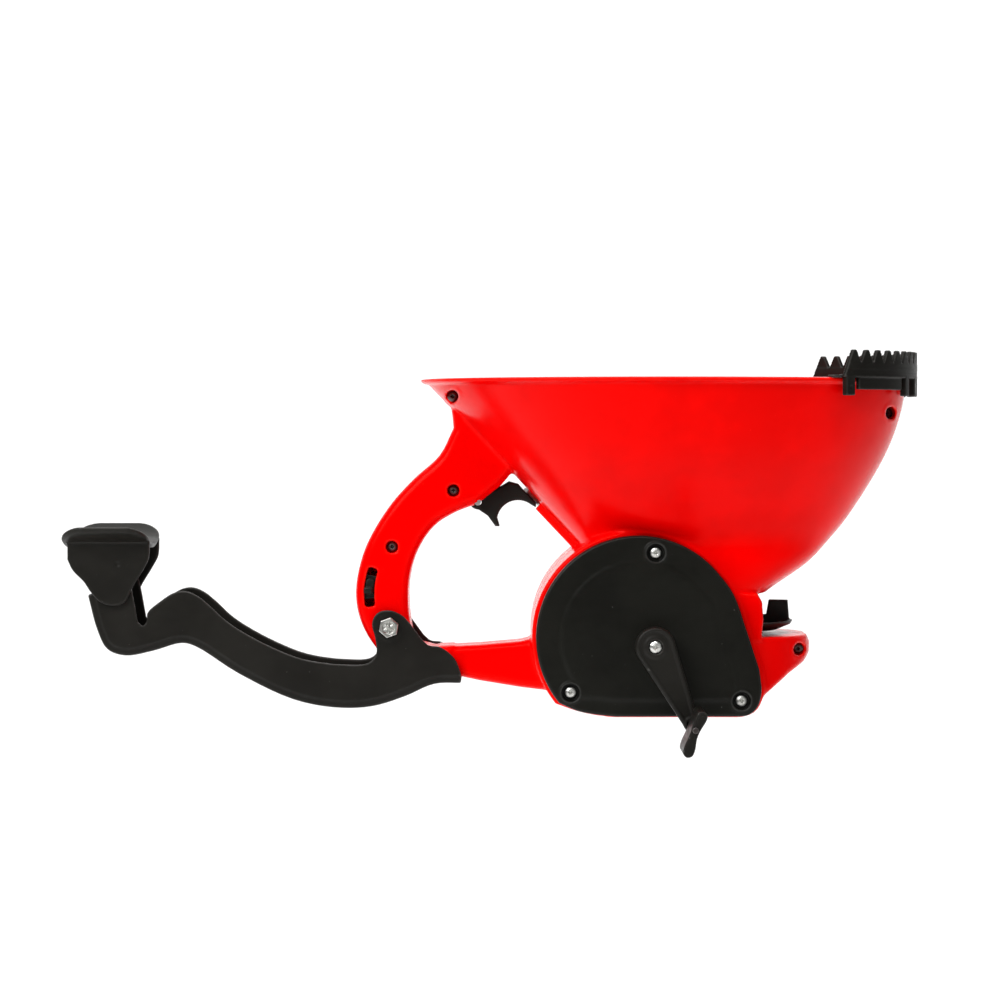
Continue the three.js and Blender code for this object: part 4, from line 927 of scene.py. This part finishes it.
# The third colour of each material lightens sharp edges and dust: partly wear and dust, partly a painted
# highlight along the edges.
RED = moulded(
    "red_gloss_plastic", (0.86, 0.0, 0.0), (0.96, 0.0, 0.0), (1.0, 0.012, 0.006),
    (0.20, 0.24), (1500, 0.000004), specular=0.27, ripple=0.012, tint=(1, 0.11, 0.08),
)
BLACK = moulded(
    "black_satin_plastic", (0.0085, 0.0078, 0.0062), (0.0125, 0.0115, 0.0094), (0.050, 0.048, 0.044),
    (0.34, 0.46), (2600, 0.000012), specular=0.16, ripple=0.03,
)
COVER_BLACK = moulded(
    "black_smooth_plastic", (0.0062, 0.0062, 0.0048), (0.0090, 0.0090, 0.0070), (0.085, 0.086, 0.082),
    (0.30, 0.40), (1800, 0.000006), specular=0.12, ripple=0.03,
)
DARK_STEEL = moulded(
    "dark_steel", (0.070, 0.060, 0.058), (0.120, 0.105, 0.100), (0.20, 0.19, 0.185),
    (0.30, 0.45), (3200, 0.00002), metallic=1.0,
)
GEAR_WHITE = moulded("gear_plastic", (0.70, 0.67, 0.60), (0.80, 0.77, 0.70), (0.86, 0.84, 0.78),
                     (0.34, 0.46), (1800, 0.00002))
ZINC = moulded("zinc_plate", (0.46, 0.46, 0.43), (0.66, 0.66, 0.63), (0.86, 0.86, 0.84),
               (0.24, 0.42), (3200, 0.00003), metallic=1.0)
STEEL = moulded("bright_steel", (0.50, 0.50, 0.49), (0.62, 0.62, 0.60), (0.80, 0.80, 0.78),
                (0.22, 0.36), (2400, 0.00002), metallic=1.0)


# ---- pieces ----
def piece(name, field, low, high, step, body, material, slot, nodes=None):
    return carve(name, field, low, high, step, body, material, slot, nodes or [name])


piece("shell_right.finish", shell_right, (-15, -86, -76), (263, 0.2, 91), 1.0, "housing", RED, "red_shell",
      ["shell_right"])
piece("shell_left.finish", shell_left, (-15, -0.2, -76), (263, 86, 91), 1.0, "housing", RED, "red_shell",
      ["shell_left"])
piece("gear_cover.finish", gear_cover, (75, -48, -75), (185, -37, 14), 0.6, "housing", COVER_BLACK,
      "black_plastic", ["gear_cover"])
piece("crank_arm.finish", crank_arm, (122, -62.5, -80), (154, -47.5, -29), 0.5, "crank", BLACK,
      "black_plastic", ["crank_arm"])
piece("crank_knob.finish", crank_knob, (143, -88.2, -89.5), (155.4, -62.8, -67), 0.35, "knob", BLACK,
      "black_plastic", ["crank_knob"])
piece("knob_pin.finish", knob_pin, (146.9, -88.9, -78.6), (151.9, -53, -73.6), 0.25, "crank", DARK_STEEL,
      "bright_steel", ["knob_pin"])
piece("impeller.finish", impeller, (136, -34, -35), (204, 34, -19), 0.6, "impeller", BLACK,
      "black_plastic", ["impeller"])
piece("trigger.finish", trigger, (42, -6, 16.5), (76.5, 6, 40), 0.4, "trigger", BLACK,
      "black_plastic", ["trigger"])
piece("rate_stop.finish", rate_stop, (-12, -17.2, -19.5), (-1.5, -10, -5.5), 0.3, "rate_stop", BLACK,
      "black_plastic", ["rate_stop"])
piece("arm_support.finish", arm_support, (-147, -18.5, -73.5), (39, 18.5, 1.6), 0.8, "arm_support", BLACK,
      "black_plastic", ["arm_support"])
piece("forearm_rest.finish", forearm_rest, (-159, -32.5, -22), (-115, 32.5, 19), 0.7, "forearm_rest", BLACK,
      "black_plastic", ["forearm_rest"])
piece("lump_comb.finish", lump_comb, (208, -74, 81), (266, 74, 104), 0.55, "housing", BLACK,
      "black_plastic", ["lump_comb"])

HEAD_Y = -45.4
for name, at in COVER_SCREWS.items():
    piece(name + ".finish", screw_field(at, HEAD_Y, 2.7, 1.9, 12, 1.3),
          (at[0] - 3, HEAD_Y - 0.3, at[1] - 3), (at[0] + 3, HEAD_Y + 14, at[1] + 3), 0.2, "housing", ZINC,
          "zinc_screws", [name])
for name, (sx, sz, floor) in SHELL_SCREWS.items():
    piece(name + ".finish", screw_field((sx, sz), floor - 2.3, 2.6, 2, 20, 1.3),
          (sx - 3, floor - 2.6, sz - 3), (sx + 3, floor + 20, sz + 3), 0.25, "housing", DARK_STEEL,
          "zinc_screws", [name])
piece("crank_screw.finish", screw_field(CRANK, -62.4, 3, 2, 2.2, 1.4),
      (CRANK[0] - 3.3, -62.7, CRANK[1] - 3.3), (CRANK[0] + 3.3, -58, CRANK[1] + 3.3), 0.2, "crank", ZINC,
      "zinc_screws", ["crank_screw"])
bx, bz = BOLT
piece("support_bolt.finish", support_bolt, (bx - 5.4, -22.4, bz - 5.4), (bx + 5.4, 24.2, bz + 5.4), 0.3,
      "housing", ZINC, "zinc_screws", ["support_bolt"])
piece("bolt_washer.finish", bolt_washer, (bx - 5.6, 18, bz - 5.6), (bx + 5.6, 19.4, bz + 5.6), 0.25,
      "housing", ZINC, "zinc_screws", ["bolt_washer"])
piece("support_nut.finish", support_nut, (bx - 5, 19, bz - 5), (bx + 5, 23.6, bz + 5), 0.3,
      "housing", ZINC, "zinc_screws", ["support_nut"])

KEPT = {
    "impeller_bush": GEAR_WHITE, "drive_gear": GEAR_WHITE, "pinion_gear": GEAR_WHITE,
    "side_bevel_gear": GEAR_WHITE, "top_bevel_gear": GEAR_WHITE,
    "crank_shaft": STEEL, "counter_shaft": STEEL, "impeller_shaft": STEEL, "trigger_pin": STEEL,
    "gate_rod": STEEL, "return_spring": STEEL, "gate": BLACK,
}
for name, material in KEPT.items():
    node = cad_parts[name]
    for material_slot in node.material_slots:
        material_slot.material = material
    bevel = node.modifiers.new("edge", "BEVEL")
    bevel.width = 0.00015
    bevel.segments = 2
    bevel.limit_method = "ANGLE"
    bevel.angle_limit = math.radians(40)


# ---- stage, light and camera ----
CENTRE = (0.05, 0, 0)
BACKDROP = (0.05, 1.9, 0.2)


def stage_sheet():
    """A pale floor that curves up into a wall behind the object."""
    floor_z, wall_y, radius = -0.42, 1.9, 0.9
    line = [(-4.0, floor_z)]
    for k in range(25):
        angle = math.pi / 2 * k / 24
        line.append((wall_y - radius + radius * math.sin(angle), floor_z + radius * (1 - math.cos(angle))))
    line.append((wall_y, 4.0))
    mesh = bpy.data.meshes.new("stage")
    points = [(side, y, z) for y, z in line for side in (-4.5, 4.5)]
    faces = [(2 * k, 2 * k + 1, 2 * k + 3, 2 * k + 2) for k in range(len(line) - 1)]
    mesh.from_pydata(points, [], faces)
    mesh.shade_smooth()
    sheet = bpy.data.objects.new("stage", mesh)
    bpy.context.scene.collection.objects.link(sheet)
    material, nodes, links = new_material("stage_paper")
    vector = nodes.new("ShaderNodeTexCoord").outputs["Object"]
    tone = add_range(nodes, links, add_noise(nodes, links, vector, 3), 0.3, 0.7, 0, 1)
    colour = add_mix(nodes, links, tone, (0.90, 0.90, 0.90), (0.93, 0.93, 0.925))
    links.new(colour, nodes["Principled BSDF"].inputs["Base Color"])
    nodes["Principled BSDF"].inputs["Roughness"].default_value = 0.9
    mesh.materials.append(material)


def soft_light(name, place, target, size, power):
    data = bpy.data.lights.new(name, "AREA")
    data.shape = "RECTANGLE"
    data.size, data.size_y = size
    data.energy = power
    light = bpy.data.objects.new(name, data)
    light.location = place
    light.rotation_euler = (Vector(target) - Vector(place)).to_track_quat("-Z", "Y").to_euler()
    bpy.context.scene.collection.objects.link(light)


stage_sheet()
soft_light("key", (-1.05, -1.35, 1.15), CENTRE, (1.2, 1.0), 31)
soft_light("strip", (0.15, -1.0, 1.35), CENTRE, (1.1, 0.08), 7)
soft_light("fill", (1.4, -1.6, 0.25), CENTRE, (0.9, 1.2), 2)
soft_light("top", (0.0, 0.1, 1.9), CENTRE, (1.8, 1.2), 13)
soft_light("wall", (0.0, 0.3, 2.2), BACKDROP, (3.0, 0.8), 45)

world = bpy.data.worlds.new("room")
world.use_nodes = True
world.node_tree.nodes["Background"].inputs["Color"].default_value = (1, 1, 1, 1)
world.node_tree.nodes["Background"].inputs["Strength"].default_value = 0.16
bpy.context.scene.world = world
bpy.context.scene.view_settings.view_transform = "Standard"

camera_data = bpy.data.cameras.new("camera")
camera_data.sensor_width = 36
camera_data.lens = 100
camera = bpy.data.objects.new("camera", camera_data)
camera.location = (0.0575, -1.389, 0.065)
camera.rotation_euler = (math.radians(90 - 1.444), 0, 0)
bpy.context.scene.collection.objects.link(camera)
bpy.context.scene.camera = camera

bpy.context.view_layer.update()
